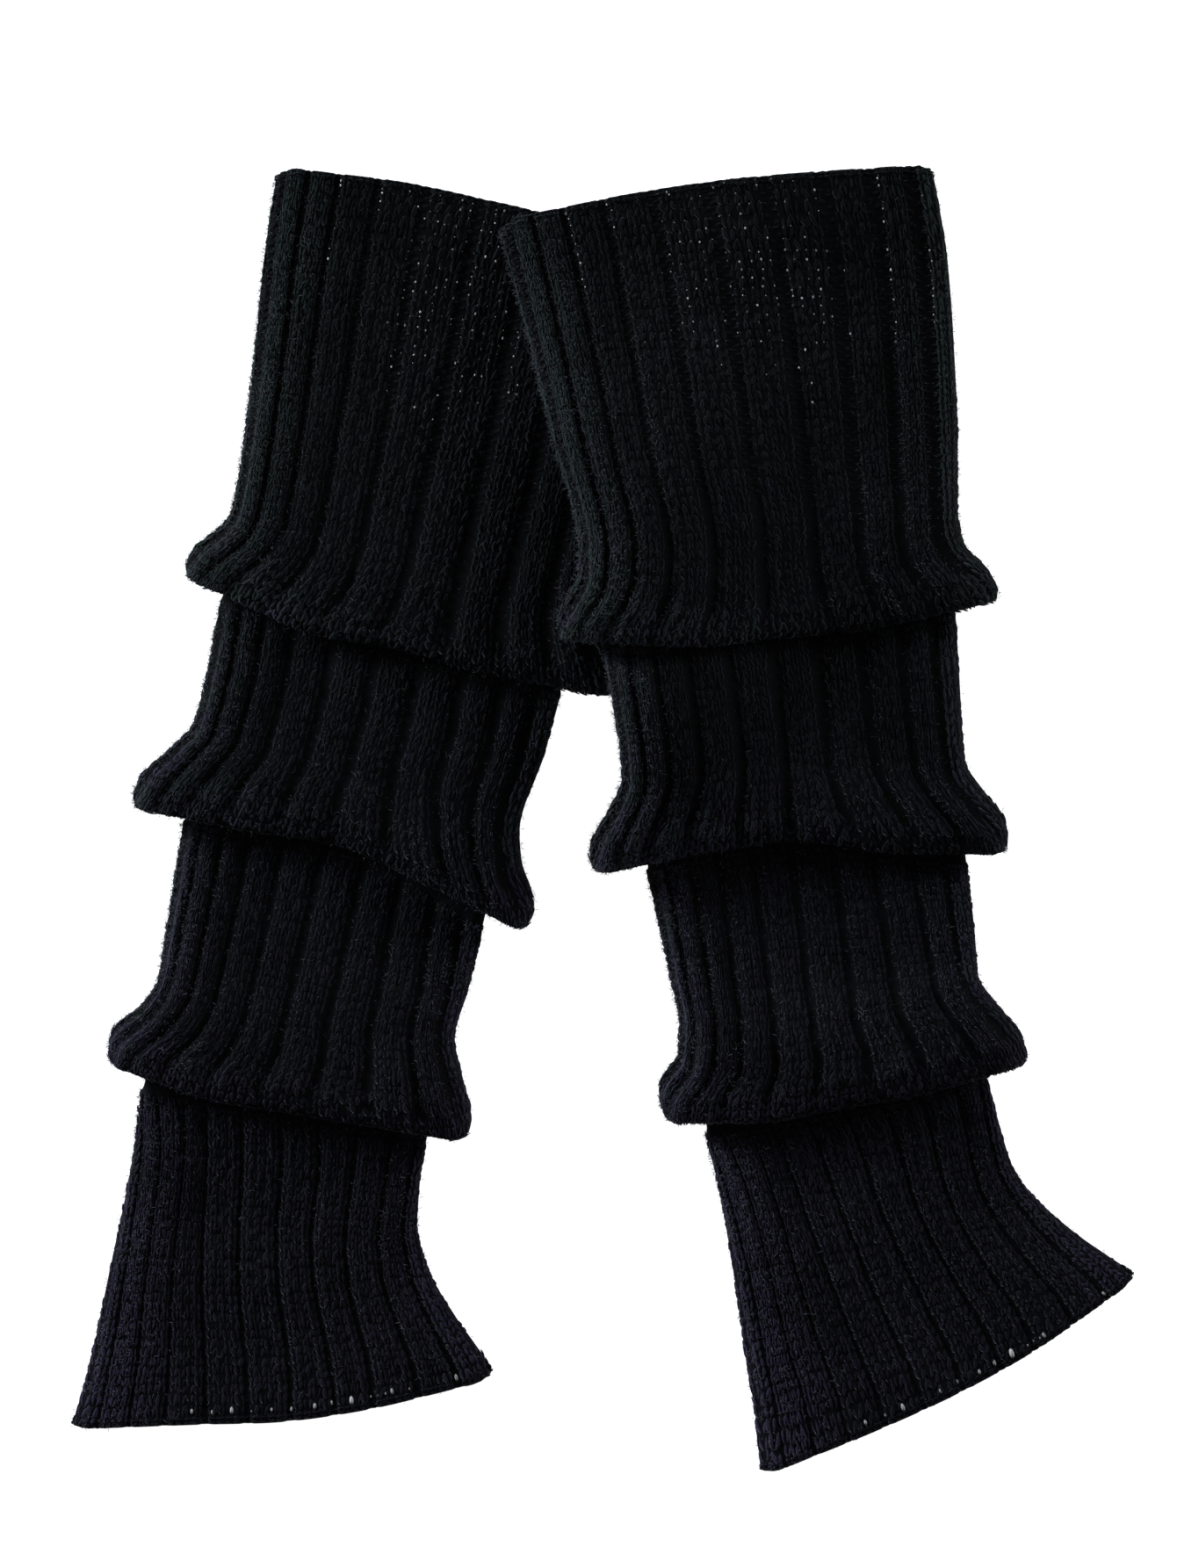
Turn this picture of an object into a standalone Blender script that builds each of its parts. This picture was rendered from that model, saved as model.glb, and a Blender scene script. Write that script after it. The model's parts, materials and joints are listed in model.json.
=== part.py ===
"""A pair of footless ribbed knit leg warmers, slouched into tiers and laid flat.

Each leg warmer is one knitted tube, open at both ends, pressed flat on the surface it lies on. Three times on
the way down, the tube turns under at a lip, runs back up inside itself and turns down again as the next tier.
The right leg warmer lies with its upper left margin over the left one. Sizes are millimetres in the
tables and functions, and metres in the mesh. +X is to the right, +Y is up the legs and +Z is off the surface.
"""

import math
from collections import namedtuple

import bmesh
import bpy

MM = 0.001
PLAN_MIDDLE = (-0.54, 1.15)  # of the pair's outline, in the tables' plan: the model's origin lies there

# The knitted wall
WALL = 1.8  # from the wrong side to the bottom of a groove
RIB_RISE = 1.2  # of a rib above its grooves
# The grooves between the front's ribs, as shares of its width: the ribs look narrower towards its rolled edges
GROOVES_ACROSS = (0.04, 0.115, 0.212, 0.335, 0.47, 0.605, 0.735, 0.86, 0.955)
GROOVE_SIDE = 0.022  # from a groove's bottom up to the full height of the rib beside it, as such a share
UNDER_PLACES = 10  # points across the plain underside
SLOT = 0.6  # between the front of the tube and its back, where they lie on each other
NEST = 0.6  # between layers inside a fold

# Half thickness of the pressed tube, to the grooves of its right side
FLAT = SLOT / 2 + WALL
TUCKED = FLAT + NEST  # the stretch that runs back up, whose right side faces in
STACK = TUCKED + WALL + NEST + WALL  # the outermost layer over a fold
SWELL = 3.4  # where a tier starts to lift over the fold inside it

# A fold
FOLD_DEPTH = 24.0  # from the lip up to the hidden turn
LIP_LENGTH = 3.0  # of the rounded turn at the lip, along the leg
PINCH = 3.0  # that each side of the tube is narrower at the hidden turn
NECK_SHIFT = 1.0  # of a new tier's first ring below the lip that it comes out of

# Rims and plan corners
RIM_ROUND = 1.0
LIP_CORNER = 9.0  # plan radius of the wings where a lip meets the side edges

# The right leg warmer's margin, where it lies over the left one
CLEARANCE = 0.9
FALL = 78.0  # distance over which it comes down to the surface beyond the left one's edge
STEEP_ZONE = (46.0, 130.0)  # distances up from the left one's first lip, between which it gets lower

# A cross line of a leg warmer: its two ends on the photographed outline, and how far it dips below the
# straight line between them at DIP_PLACES. kind says what the tube does there.
Line = namedtuple("Line", "kind left right dips")
DIP_PLACES = (0.1, 0.3, 0.5, 0.7, 0.9)

LEFT_LINES = (
    Line("rim", (-112.3, 218.5), (33.1, 194.0), (-5.5, -6.7, -5.4, -3.6, -1.6)),
    Line("body", (-115.0, 194.5), (26.6, 167.8), (-2, -3, -2, -1, 0)),
    Line("body", (-118.9, 155.0), (16.1, 126.4), (1, 1.5, 2, 2, 1)),
    Line("swell", (-121.6, 134.0), (9.4, 100.3), (2.5, 5, 5, 5, 4)),
    Line("rise", (-124.6, 113.2), (5.0, 82.3), (4.5, 9, 9, 9, 8)),
    Line("flare", (-126.8, 104.8), (3.1, 73.3), (6, 11, 10.5, 11, 10)),
    Line("wing", (-137.8, 94.6), (6.8, 61.0), (6.5, 12.5, 12, 13, 11.5)),
    Line("lip", (-142.2, 87.5), (8.5, 52.4), (7.1, 13.3, 12.4, 13.8, 12.1)),
    Line("neck", (-130.3, 77.2), (-13.7, 45.1), (2.2, 4.5, 2.8, 2.2, 1.2)),
    Line("swell", (-133.7, 56.9), (-19.9, 24.4), (2, 3, 1, 2, 3)),
    Line("rise", (-139.3, 33.8), (-28.1, 0.1), (2.5, 2, -0.5, 2.5, 7)),
    Line("flare", (-146.8, 25.9), (-27.8, -9.2), (3, 2, -0.8, 3, 8.5)),
    Line("wing", (-156.2, 17.2), (-24.4, -20.8), (3.4, 2.2, -1, 3.3, 9.4)),
    Line("lip", (-160.0, 9.4), (-23.1, -29.2), (3.6, 2.2, -1, 3.5, 10.1)),
    Line("neck", (-143.2, 0.8), (-40.6, -35.2), (-1.4, -4.5, -8.3, -6.7, -1.5)),
    Line("body", (-146.2, -19.6), (-44.9, -51.8), (0, 0, -2, -1, 0)),
    Line("swell", (-148.7, -36.4), (-46.9, -58.6), (2, 3, 2.5, 2.5, 2)),
    Line("rise", (-151.0, -52.0), (-50.9, -73.0), (5, 7, 6.5, 5.5, 4)),
    Line("flare", (-155.5, -61.3), (-48.8, -83.8), (7, 9.5, 8.5, 7.5, 5.5)),
    Line("wing", (-165.8, -69.5), (-45.8, -94.3), (8, 10.6, 9.8, 8.5, 6.7)),
    Line("lip", (-168.2, -77.2), (-44.5, -102.5), (8.9, 11.4, 10.5, 9.1, 7.3)),
    Line("neck", (-157.7, -89.8), (-59.5, -106.6), (2.4, 2, 1.8, 1.7, 0.2)),
    Line("body", (-159.8, -107.2), (-62.2, -122.2), (2, 2, 2, 2, 1)),
    Line("body", (-164.5, -133.0), (-63.4, -137.2), (1, 2, 2, 2, 1)),
    Line("body", (-169.0, -154.7), (-59.8, -152.5), (2, 3, 4, 3, 2)),
    Line("body", (-173.5, -176.2), (-51.1, -168.8), (3, 4.5, 6, 5.5, 4)),
    Line("body", (-177.8, -193.7), (-43.6, -178.9), (3.5, 6, 8, 7.5, 5)),
    Line("rim", (-181.3, -204.8), (-38.2, -186.4), (4.2, 6.8, 9.5, 9, 5.9)),
)

RIGHT_LINES = (
    Line("rim", (-34.4, 198.0), (113.2, 219.8), (-7.5, -9.5, -9.7, -8.1, -5.8)),
    Line("body", (-30.1, 181.9), (117.1, 190.9), (-4, -5, -5, -3.5, -2)),
    Line("body", (-23.8, 159.2), (118.9, 162.2), (0, 0, 0, 1, 1)),
    Line("swell", (-16.1, 128.8), (120.4, 130.3), (3, 4, 4, 4, 2)),
    Line("rise", (-7.9, 96.1), (120.6, 106.3), (6, 8.5, 8, 7, 4)),
    Line("flare", (-7.9, 86.8), (123.1, 95.5), (7.5, 10.5, 10, 8.5, 4.5)),
    Line("wing", (-13.0, 76.0), (130.3, 86.8), (8.2, 11.5, 11, 9.5, 4.7)),
    Line("lip", (-16.1, 68.0), (135.2, 78.8), (8.6, 12, 11.3, 10.1, 4.9)),
    Line("neck", (-0.1, 60.1), (120.4, 72.8), (1.7, 4.3, 4.4, 4.1, 2.3)),
    Line("swell", (3.4, 40.4), (121.6, 49.4), (3, 3, 3, 4, 3)),
    Line("rise", (6.8, 17.2), (122.8, 23.6), (4.5, 2, 0.5, 4, 6)),
    Line("flare", (3.4, 7.6), (127.3, 14.5), (5, 2, 0.2, 4.7, 7)),
    Line("wing", (-2.9, -3.8), (134.8, 4.0), (5.4, 2, 0.1, 5.1, 7.5)),
    Line("lip", (-4.3, -11.5), (138.4, -4.0), (5.6, 1.9, 0, 5.4, 7.8)),
    Line("neck", (15.1, -16.3), (123.8, -13.3), (-2.1, -6.3, -7.2, -3.1, -0.7)),
    Line("body", (20.6, -40.0), (126.1, -35.9), (0, -1, -1, 0, 0)),
    Line("swell", (23.6, -53.9), (127.0, -45.1), (4, 4, 3.5, 3.5, 2)),
    Line("rise", (25.9, -65.2), (127.9, -52.6), (7.5, 8, 7.5, 6.5, 3)),
    Line("flare", (26.2, -76.0), (133.7, -61.0), (10, 11.2, 9.7, 8, 4.3)),
    Line("wing", (21.1, -85.3), (141.4, -71.2), (11.4, 12.8, 10.8, 9, 4.9)),
    Line("lip", (19.1, -93.5), (144.8, -79.3), (12.4, 13.7, 11.6, 9.6, 5.2)),
    Line("neck", (34.6, -105.1), (131.2, -86.2), (2.2, 2.1, 2.2, 2.4, 1.1)),
    Line("body", (38.2, -121.6), (135.2, -102.5), (2, 2, 2, 2, 1)),
    Line("body", (41.5, -138.4), (140.2, -118.6), (2, 3, 3, 3, 2)),
    Line("body", (45.8, -161.8), (150.4, -131.2), (3, 4, 4.5, 4.5, 3)),
    Line("body", (48.8, -182.2), (163.0, -141.8), (4, 5.5, 6.5, 6, 4)),
    Line("body", (51.4, -199.7), (173.8, -148.7), (5, 7, 8.5, 7.8, 5)),
    Line("rim", (53.2, -219.8), (180.8, -153.8), (5.6, 8.2, 9.6, 8.8, 5.1)),
)

# Where the knit face of the tube stands above the surface's own level, by kind of line
HALF = {"rim": FLAT, "body": FLAT, "swell": SWELL, "rise": STACK, "flare": STACK, "wing": STACK, "neck": FLAT}

# One ring of the tube. line and its shift give the place, core is how far its straight part is from the
# line's ends, face and back are half thicknesses to the right side and the wrong side of the knit, mid is
# the height of the tube's middle, and rib is the share of the ribs' full rise. lean is the way the ribs
# point: 0 off the surface, and 90 degrees down the leg, as at a lip.
Ring = namedtuple("Ring", "line shift back_shift core face back mid rib lean")

# A place around a ring: how far around it lies, the side it is on, how far across that side, and its rise
Place = namedtuple("Place", "turn side across rise")


def smooth(t):
    """An S-shaped step from 0 to 1, for t from 0 to 1."""
    t = min(max(t, 0.0), 1.0)
    return t * t * (3 - 2 * t)


def mix(a, b, t):
    return a + (b - a) * t


def dip_at(line, x, width):
    """How far a line hangs below its straight chord, x from its left end, with rounded plan corners."""
    u = x / width
    dips, last = line.dips, len(DIP_PLACES) - 1
    k = sum(1 for place in DIP_PLACES[1:last] if u > place)
    t = (u - DIP_PLACES[k]) / (DIP_PLACES[k + 1] - DIP_PLACES[k])
    depth = mix(dips[k], dips[k + 1], min(max(t, -0.5), 1.5))
    inset = min(max(min(x, width - x) / LIP_CORNER, 0.0), 1.0)
    return depth * math.sqrt(1 - (1 - inset) ** 2)


def plan_point(line, x, shift):
    """The plan place of a point x along the line from its left end, moved shift down the leg."""
    (lx, ly), (rx, ry) = line.left, line.right
    width = math.hypot(rx - lx, ry - ly)
    ex, ey = (rx - lx) / width, (ry - ly) / width
    down = shift + dip_at(line, x, width)
    return lx + ex * x + ey * down, ly + ey * x - ex * down


def chord(line):
    return math.hypot(line.right[0] - line.left[0], line.right[1] - line.left[1])


def places(front_rises, side_rise):
    """Places around a ring: along the front, round the right edge, back along the underside and round the left."""
    side_angles = (45, 0, -45)
    found = [Place(0.45 * across, "front", across, rise) for across, rise in front_rises]
    for n, angle in enumerate(side_angles, 1):
        found.append(Place(0.45 + 0.05 * n / (len(side_angles) + 1), "right", angle, side_rise))
    for n in range(UNDER_PLACES):
        across = n / (UNDER_PLACES - 1)
        found.append(Place(0.5 + 0.45 * across, "under", 1 - across, 0))
    for n, angle in enumerate(side_angles, 1):
        found.append(Place(0.95 + 0.05 * n / (len(side_angles) + 1), "left", angle, side_rise))
    return found


def rib_rises():
    """Across the front of the right side: each groove's bottom, between the shoulders of the ribs beside it."""
    found = [(0.0, 1)]
    for groove in GROOVES_ACROSS:
        found += [(groove - GROOVE_SIDE, 1), (groove, 0), (groove + GROOVE_SIDE, 1)]
    return found + [(1.0, 1)]


FACE_PLACES = places(rib_rises(), 1)
BACK_PLACES = places([(across, 0) for across in (0.0,) + GROOVES_ACROSS + (1.0,)], 0)


def surface_points(ring, knit_face, lift):
    """The points of one ring, on the right side of the knit or on its wrong side."""
    width = chord(ring.line)
    half, shift = (ring.face, ring.shift) if knit_face else (ring.back, ring.back_shift)
    lean = math.radians(ring.lean)
    points = []
    for place in FACE_PLACES if knit_face else BACK_PLACES:
        rise = place.rise * ring.rib * RIB_RISE
        radius = half + rise * math.cos(lean)
        down = shift + rise * math.sin(lean)
        if place.side in ("front", "under"):
            x = mix(ring.core, width - ring.core, place.across)
            z = ring.mid + radius * (1 if place.side == "front" else -1)
        else:
            angle = math.radians(place.across)
            reach = radius * math.cos(angle)
            x = width - ring.core + reach if place.side == "right" else ring.core - reach
            z = ring.mid + half * math.sin(angle if place.side == "right" else -angle)
        px, py = plan_point(ring.line, x, down)
        points.append((px, py, z + lift(px, py)))
    return points


def plain_ring(line, shift=0.0, mid=None, rib=1.0):
    """A ring where the knit face points out."""
    half = HALF[line.kind]
    core = half + RIB_RISE
    return Ring(line, shift, shift, core, half, half - WALL, half if mid is None else mid, rib, 0)


def lip_rings(lip):
    """The rounded turn at a lip, from the outer layer to the tucked one. The ribs fade out under it."""
    core = STACK + RIB_RISE
    middle, radius = (STACK + TUCKED) / 2, (STACK - TUCKED) / 2
    rings = []
    for angle, rib in ((0, 1), (50, 1), (100, 0.8), (180, 0)):
        turn = math.radians(angle)
        face = middle + radius * math.cos(turn)
        back = middle + (radius - WALL) * math.cos(turn)
        shift = LIP_LENGTH * (math.sin(turn) - 1)
        back_shift = (LIP_LENGTH - WALL) * math.sin(turn) - LIP_LENGTH
        rings.append(Ring(lip, shift, back_shift, core, face, back, STACK, rib, angle))
    return rings


def hidden_rings(wing, neck):
    """Back up inside the tier, round the hidden turn, and down again to the lip."""
    rings = [Ring(wing, 0.0, 0.0, STACK + RIB_RISE, TUCKED, TUCKED + WALL, STACK, 0, 0)]
    core = FLAT + RIB_RISE + PINCH
    middle, radius = (TUCKED + FLAT) / 2, NEST / 2
    for angle in (0, 90, 180):
        turn = math.radians(angle)
        face = middle + radius * math.cos(turn)
        back = middle + (radius + WALL) * math.cos(turn)
        shift = -FOLD_DEPTH - radius * math.sin(turn)
        back_shift = -FOLD_DEPTH - (radius + WALL) * math.sin(turn)
        rings.append(Ring(neck, shift, back_shift, core, face, back, STACK, 0, 0))
    half_way = -FOLD_DEPTH / 2
    rings.append(Ring(neck, half_way, half_way, core - PINCH / 2, FLAT, FLAT - WALL, STACK, 0, 0))
    return rings


def leg_rings(lines):
    """All rings of a leg warmer in order along the knit, from its top rim to its hem, but for the rims."""
    rings = [plain_ring(lines[0], shift=RIM_ROUND)]
    for before, line, after in zip(lines, lines[1:], lines[2:]):
        if line.kind == "neck":
            rings.append(plain_ring(line, shift=NECK_SHIFT, mid=STACK, rib=0.2))
        elif line.kind == "lip":
            rings += lip_rings(line)
            rings += hidden_rings(before, after)
        else:
            rings.append(plain_ring(line))
    return rings + [plain_ring(lines[-1], shift=-RIM_ROUND)]


def rim_ring(line):
    """The very edge of the cloth, where its right side meets its wrong side."""
    half = FLAT - WALL / 2
    return Ring(line, 0.0, 0.0, FLAT + RIB_RISE, half, half, FLAT, 0.5, 0)


def bridge(bm, ring_a, ring_b, lean):
    """Closes the strip between two rings of vertices, which may have different numbers of them.

    Four vertices that face each other are split along the line that leans as the leg does, in every layer,
    so that layers that lie on each other nest.
    """
    (turns_a, verts_a), (turns_b, verts_b) = ring_a, ring_b
    a, b = 0, 0
    while a < len(verts_a) or b < len(verts_b):
        next_a = turns_a[a + 1] if a + 1 < len(verts_a) else 1.0
        next_b = turns_b[b + 1] if b + 1 < len(verts_b) else 1.0
        here_a, here_b = verts_a[a % len(verts_a)], verts_b[b % len(verts_b)]
        if a < len(verts_a) and b < len(verts_b) and next_a == next_b:
            split = verts_a[(a + 1) % len(verts_a)].co - here_b.co
            a_first = split.x * split.y * lean > 0
        else:
            a_first = b >= len(verts_b) or (a < len(verts_a) and next_a < next_b)
        if a_first:
            a += 1
            bm.faces.new((here_a, verts_a[a % len(verts_a)], here_b))
        else:
            b += 1
            bm.faces.new((here_a, verts_b[b % len(verts_b)], here_b))


def add_ring(bm, ring, knit_face, lift):
    """Makes one ring's vertices, and returns how far around each is, with the vertices."""
    turns = [place.turn for place in (FACE_PLACES if knit_face else BACK_PLACES)]
    mx, my = PLAN_MIDDLE
    points = surface_points(ring, knit_face, lift)
    return turns, [bm.verts.new(((x - mx) * MM, (y - my) * MM, z * MM)) for x, y, z in points]


def leg_warmer(name, lines, lift, material, collection):
    """One tube: down its right side from rim to hem, and back up its wrong side."""
    bm = bmesh.new()
    rings = leg_rings(lines)
    loops = [add_ring(bm, rim_ring(lines[0]), True, lift)]
    loops += [add_ring(bm, ring, True, lift) for ring in rings]
    loops += [add_ring(bm, rim_ring(lines[-1]), True, lift)]
    loops += [add_ring(bm, ring, False, lift) for ring in reversed(rings)]
    lean = sum(top[0] - foot[0] for top, foot in zip(lines[0][1:3], lines[-1][1:3]))
    for loop, following in zip(loops, loops[1:] + loops[:1]):
        bridge(bm, loop, following, lean)
    bmesh.ops.recalc_face_normals(bm, faces=bm.faces)
    mesh = bpy.data.meshes.new(name)
    bm.to_mesh(mesh)
    bm.free()
    mesh.materials.append(material)
    obj = bpy.data.objects.new(name, mesh)
    collection.objects.link(obj)
    return obj


def segment_distance(p, a, b):
    """Distance from p to the segment between a and b."""
    dx, dy = b[0] - a[0], b[1] - a[1]
    t = ((p[0] - a[0]) * dx + (p[1] - a[1]) * dy) / (dx * dx + dy * dy)
    t = min(max(t, 0.0), 1.0)
    return math.hypot(p[0] - a[0] - t * dx, p[1] - a[1] - t * dy)


def inside(p, outline):
    """Whether p is inside a closed plan outline."""
    crossings = 0
    for a, b in zip(outline, outline[1:] + outline[:1]):
        if (a[1] > p[1]) != (b[1] > p[1]):
            crossings += p[0] < a[0] + (p[1] - a[1]) / (b[1] - a[1]) * (b[0] - a[0])
    return crossings % 2 == 1


def first_tier_outline(lines):
    """The plan outline of a leg warmer's first tier, down one edge, along its lip and up the other."""
    tier = lines[: [line.kind for line in lines].index("lip") + 1]
    lip, width = tier[-1], chord(tier[-1])
    steps = [plan_point(lip, width * n / 10, 0) for n in range(1, 10)]
    return [line.left for line in tier] + steps + [line.right for line in reversed(tier)]


def lift_over(lines):
    """How high a leg warmer is carried where it lies over the first tier of the one with these lines."""
    outline = first_tier_outline(lines)
    lip = next(line for line in lines if line.kind == "lip")
    (lx, ly), (rx, ry) = lip.left, lip.right
    low, high = 2 * FLAT + RIB_RISE + CLEARANCE, 2 * STACK + RIB_RISE + CLEARANCE

    def lift(x, y):
        above_lip = ((y - ly) * (rx - lx) - (x - lx) * (ry - ly)) / chord(lip)
        fade = smooth((above_lip - STEEP_ZONE[0]) / (STEEP_ZONE[1] - STEEP_ZONE[0]))
        if inside((x, y), outline):
            away = 0.0
        else:
            away = min(segment_distance((x, y), a, b) for a, b in zip(outline, outline[1:] + outline[:1]))
        return mix(high, low, fade) * (1 - smooth(away / FALL))

    return lift


def on_surface(x, y):
    """A leg warmer that lies on the bare surface isn't lifted anywhere."""
    return 0.0


def knit_material():
    """Near-black acrylic and wool yarn."""
    material = bpy.data.materials.new("black_rib_knit")
    material.use_nodes = True
    shader = material.node_tree.nodes["Principled BSDF"]
    shader.inputs["Base Color"].default_value = (0.010, 0.011, 0.015, 1)
    shader.inputs["Roughness"].default_value = 0.95
    shader.inputs["Metallic"].default_value = 0.0
    return material


def main():
    for obj in list(bpy.data.objects):
        bpy.data.objects.remove(obj, do_unlink=True)
    collection = bpy.data.collections.new("leg_warmers")
    bpy.context.scene.collection.children.link(collection)
    knit = knit_material()
    leg_warmer("left_leg_warmer", LEFT_LINES, on_surface, knit, collection)
    leg_warmer("right_leg_warmer", RIGHT_LINES, lift_over(LEFT_LINES), knit, collection)


main()
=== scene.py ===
# %% [markdown]
# A pair of footless leg warmers lies flat on a pale table. Each one is a single tube, knitted round and
# round in chunky near-black yarn. The knit is a wide rib: four columns of knit stitches stand up, then a
# narrow groove of purl stitches sinks between them. Three times on the way down, the tube turns under at a
# lip, runs back up inside itself and comes out again as the next tier. The right one lies partly over the
# left one.
#
# The solids that are loaded first fix the size and place of both. This script makes everything that shows:
# the ribbed wall as a smooth shell, every stitch on it, the pinholes in the stretched top band, the eyelets
# along the hem, and the loose fibres and the pale nap of the yarn.

# %% Start empty and load the solids
import json
from collections import namedtuple

import bpy
import numpy as np
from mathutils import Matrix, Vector

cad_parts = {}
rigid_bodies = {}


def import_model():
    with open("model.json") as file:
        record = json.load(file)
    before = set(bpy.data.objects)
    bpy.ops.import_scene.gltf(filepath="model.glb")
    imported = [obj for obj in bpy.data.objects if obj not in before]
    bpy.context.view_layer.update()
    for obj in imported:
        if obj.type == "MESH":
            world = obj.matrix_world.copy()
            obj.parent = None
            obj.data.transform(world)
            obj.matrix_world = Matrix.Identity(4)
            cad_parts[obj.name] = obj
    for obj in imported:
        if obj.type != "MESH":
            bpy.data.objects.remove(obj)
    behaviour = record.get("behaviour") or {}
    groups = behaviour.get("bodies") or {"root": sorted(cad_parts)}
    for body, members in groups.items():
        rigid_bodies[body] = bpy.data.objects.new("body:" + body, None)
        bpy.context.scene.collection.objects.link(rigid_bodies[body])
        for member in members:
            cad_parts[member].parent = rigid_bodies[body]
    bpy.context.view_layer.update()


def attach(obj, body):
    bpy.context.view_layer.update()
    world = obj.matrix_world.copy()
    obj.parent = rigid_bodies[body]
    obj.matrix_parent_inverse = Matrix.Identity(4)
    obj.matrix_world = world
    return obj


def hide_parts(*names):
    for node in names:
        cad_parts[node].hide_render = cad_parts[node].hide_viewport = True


for old in list(bpy.data.objects):
    bpy.data.objects.remove(old, do_unlink=True)

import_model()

MM = 0.001

# %% [markdown]
# The pair is seen from straight above. A long lens, far away, keeps the two ends of the legs at the same
# scale. Two soft lights stand low beside the top bands, so they rake across the ribs. The one at the left
# is stronger and gives each rib a pale left flank, and the one at the right lifts the far edges. A weak
# ceiling light and a weak even sky fill the rest. The table glows, like a light table, so it stays white
# beside the yarn.

# %% The camera, straight above
SEEN = (402.0, 535.5)  # mm of the table, across and up the picture
SEEN_CENTRE = (-4.41, 11.45)
CAMERA_HEIGHT = 3000.0
SENSOR = 36.0

lens = bpy.data.cameras.new("straight_above")
lens.sensor_width = SENSOR
lens.sensor_fit = "AUTO"
lens.lens = SENSOR * CAMERA_HEIGHT / SEEN[1]
lens.clip_end = 20
camera = bpy.data.objects.new("straight_above", lens)
camera.location = (SEEN_CENTRE[0] * MM, SEEN_CENTRE[1] * MM, CAMERA_HEIGHT * MM)
bpy.context.scene.collection.objects.link(camera)
bpy.context.scene.camera = camera
bpy.context.scene.view_settings.view_transform = "Standard"
print("lens:", round(lens.lens, 1), "mm")


# %% Low light from both sides, and a weak sky
def soft_light(name, place, size, power, colour):
    """A square area light that looks at the middle of the pair. Its place and size are metres."""
    light = bpy.data.lights.new(name, "AREA")
    light.size = size
    light.energy = power
    light.color = colour
    lamp = bpy.data.objects.new(name, light)
    lamp.location = place
    lamp.rotation_euler = (-Vector(place)).to_track_quat("-Z", "Y").to_euler()
    bpy.context.scene.collection.objects.link(lamp)


soft_light("window", (-2.40, 1.15, 0.62), 0.8, 128, (0.88, 0.95, 1.0))
soft_light("wall", (2.40, 1.05, 0.58), 0.9, 54, (0.92, 0.97, 1.0))
soft_light("ceiling", (0.1, -0.9, 2.2), 1.4, 5.5, (1.0, 1.0, 1.0))
sky = bpy.data.worlds.new("weak_sky")
sky.use_nodes = True
backdrop = sky.node_tree.nodes["Background"]
backdrop.inputs["Color"].default_value = (0.97, 0.985, 1.0, 1)
backdrop.inputs["Strength"].default_value = 0.075
bpy.context.scene.world = sky
print("lights:", [obj.name for obj in bpy.data.objects if obj.type == "LIGHT"])


# %% [markdown]
# Materials are sums of patterns. A small class lets those sums be written as Python sums: it wraps one
# outlet of a node, and each sign adds the Math node that does the work. Any other node comes from one
# method, which first sets the node up and then fills its sockets.

# %% Shader sums
class Value:
    """A number on its way through a material."""

    def __init__(self, finish, outlet):
        self.finish = finish
        self.outlet = outlet

    def math(self, operation, first, second):
        return self.finish.node("ShaderNodeMath", {"operation": operation}, {0: first, 1: second})

    def __add__(self, other):
        return self.math("ADD", self, other)

    def __sub__(self, other):
        return self.math("SUBTRACT", self, other)

    def __rsub__(self, other):
        return self.math("SUBTRACT", other, self)

    def __mul__(self, other):
        return self.math("MULTIPLY", self, other)

    def at_least(self, low):
        return self.math("MAXIMUM", self, low)

    __radd__ = __add__
    __rmul__ = __mul__


class Finish:
    """A material under construction, with one Principled surface."""

    def __init__(self, name):
        self.material = bpy.data.materials.new(name)
        self.material.use_nodes = True
        self.surface = self.material.node_tree.nodes["Principled BSDF"]

    def fill(self, node, sockets):
        for name, value in sockets.items():
            if isinstance(value, Value):
                self.material.node_tree.links.new(value.outlet, node.inputs[name])
            else:
                node.inputs[name].default_value = value

    def node(self, kind, settings, sockets, outlet=0):
        made = self.material.node_tree.nodes.new(kind)
        for name, value in settings.items():
            setattr(made, name, value)
        self.fill(made, sockets)
        return Value(self, made.outputs[outlet])

    def noise(self, place, scale, detail):
        """Cloudy numbers from 0 to 1. The scale is in spots for each metre."""
        return self.node("ShaderNodeTexNoise", {}, {"Vector": place, "Scale": scale, "Detail": detail}, "Fac")

    def between(self, low, high, factor, clamped=True):
        """A colour from low to high, as the factor goes from 0 to 1, and past high if it isn't clamped."""
        settings = {"data_type": "RGBA", "clamp_factor": clamped}
        return self.node("ShaderNodeMix", settings, {0: factor, 6: low, 7: high}, 2)


# %% The table
floor_finish = Finish("pale_table")
floor_finish.fill(floor_finish.surface, {
    "Base Color": (0.86, 0.86, 0.86, 1),
    "Roughness": 0.9,
    "Emission Color": (1.0, 1.0, 1.0, 1),
    "Emission Strength": 0.95,
})
bpy.ops.mesh.primitive_plane_add(size=8, location=(0, 0, -0.3 * MM))
table = bpy.context.object
table.name = "pale_table"
table.data.materials.append(floor_finish.material)

# %% [markdown]
# The yarn is acrylic and wool, dyed near black. It is matte, and a little sheen stands for its fuzz. Its
# colour goes from a cold green black at the top bands to a paler navy black at the hems, and changes a little
# more from patch to patch and from stitch to stitch. Where the stronger light from the left falls, on the
# ribs along the left edge and near the lips, and a little along the right edge, a stitch has a shade above 1
# and turns paler still. That is painted light. A fine bump stands for the single fibres.

# %% Yarn
FIBRE_SCALE = 1150.0  # single fibres for each metre
# Each yarn's colours: at its darkest, pale at the top bands, and pale at the hems
STITCH_COLOURS = (0.0020, 0.0023, 0.0028), (0.0084, 0.0120, 0.0118), (0.0118, 0.0098, 0.0190)
# The wall's yarn is darker than the stitches': painted shade, for the grooves where it shows between
# stitches, the purl bars and the cast-off chain.
SHADED_WALL_COLOURS = (0.0016, 0.0018, 0.0021), (0.0056, 0.0068, 0.0076), (0.0064, 0.0062, 0.0096)


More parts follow.
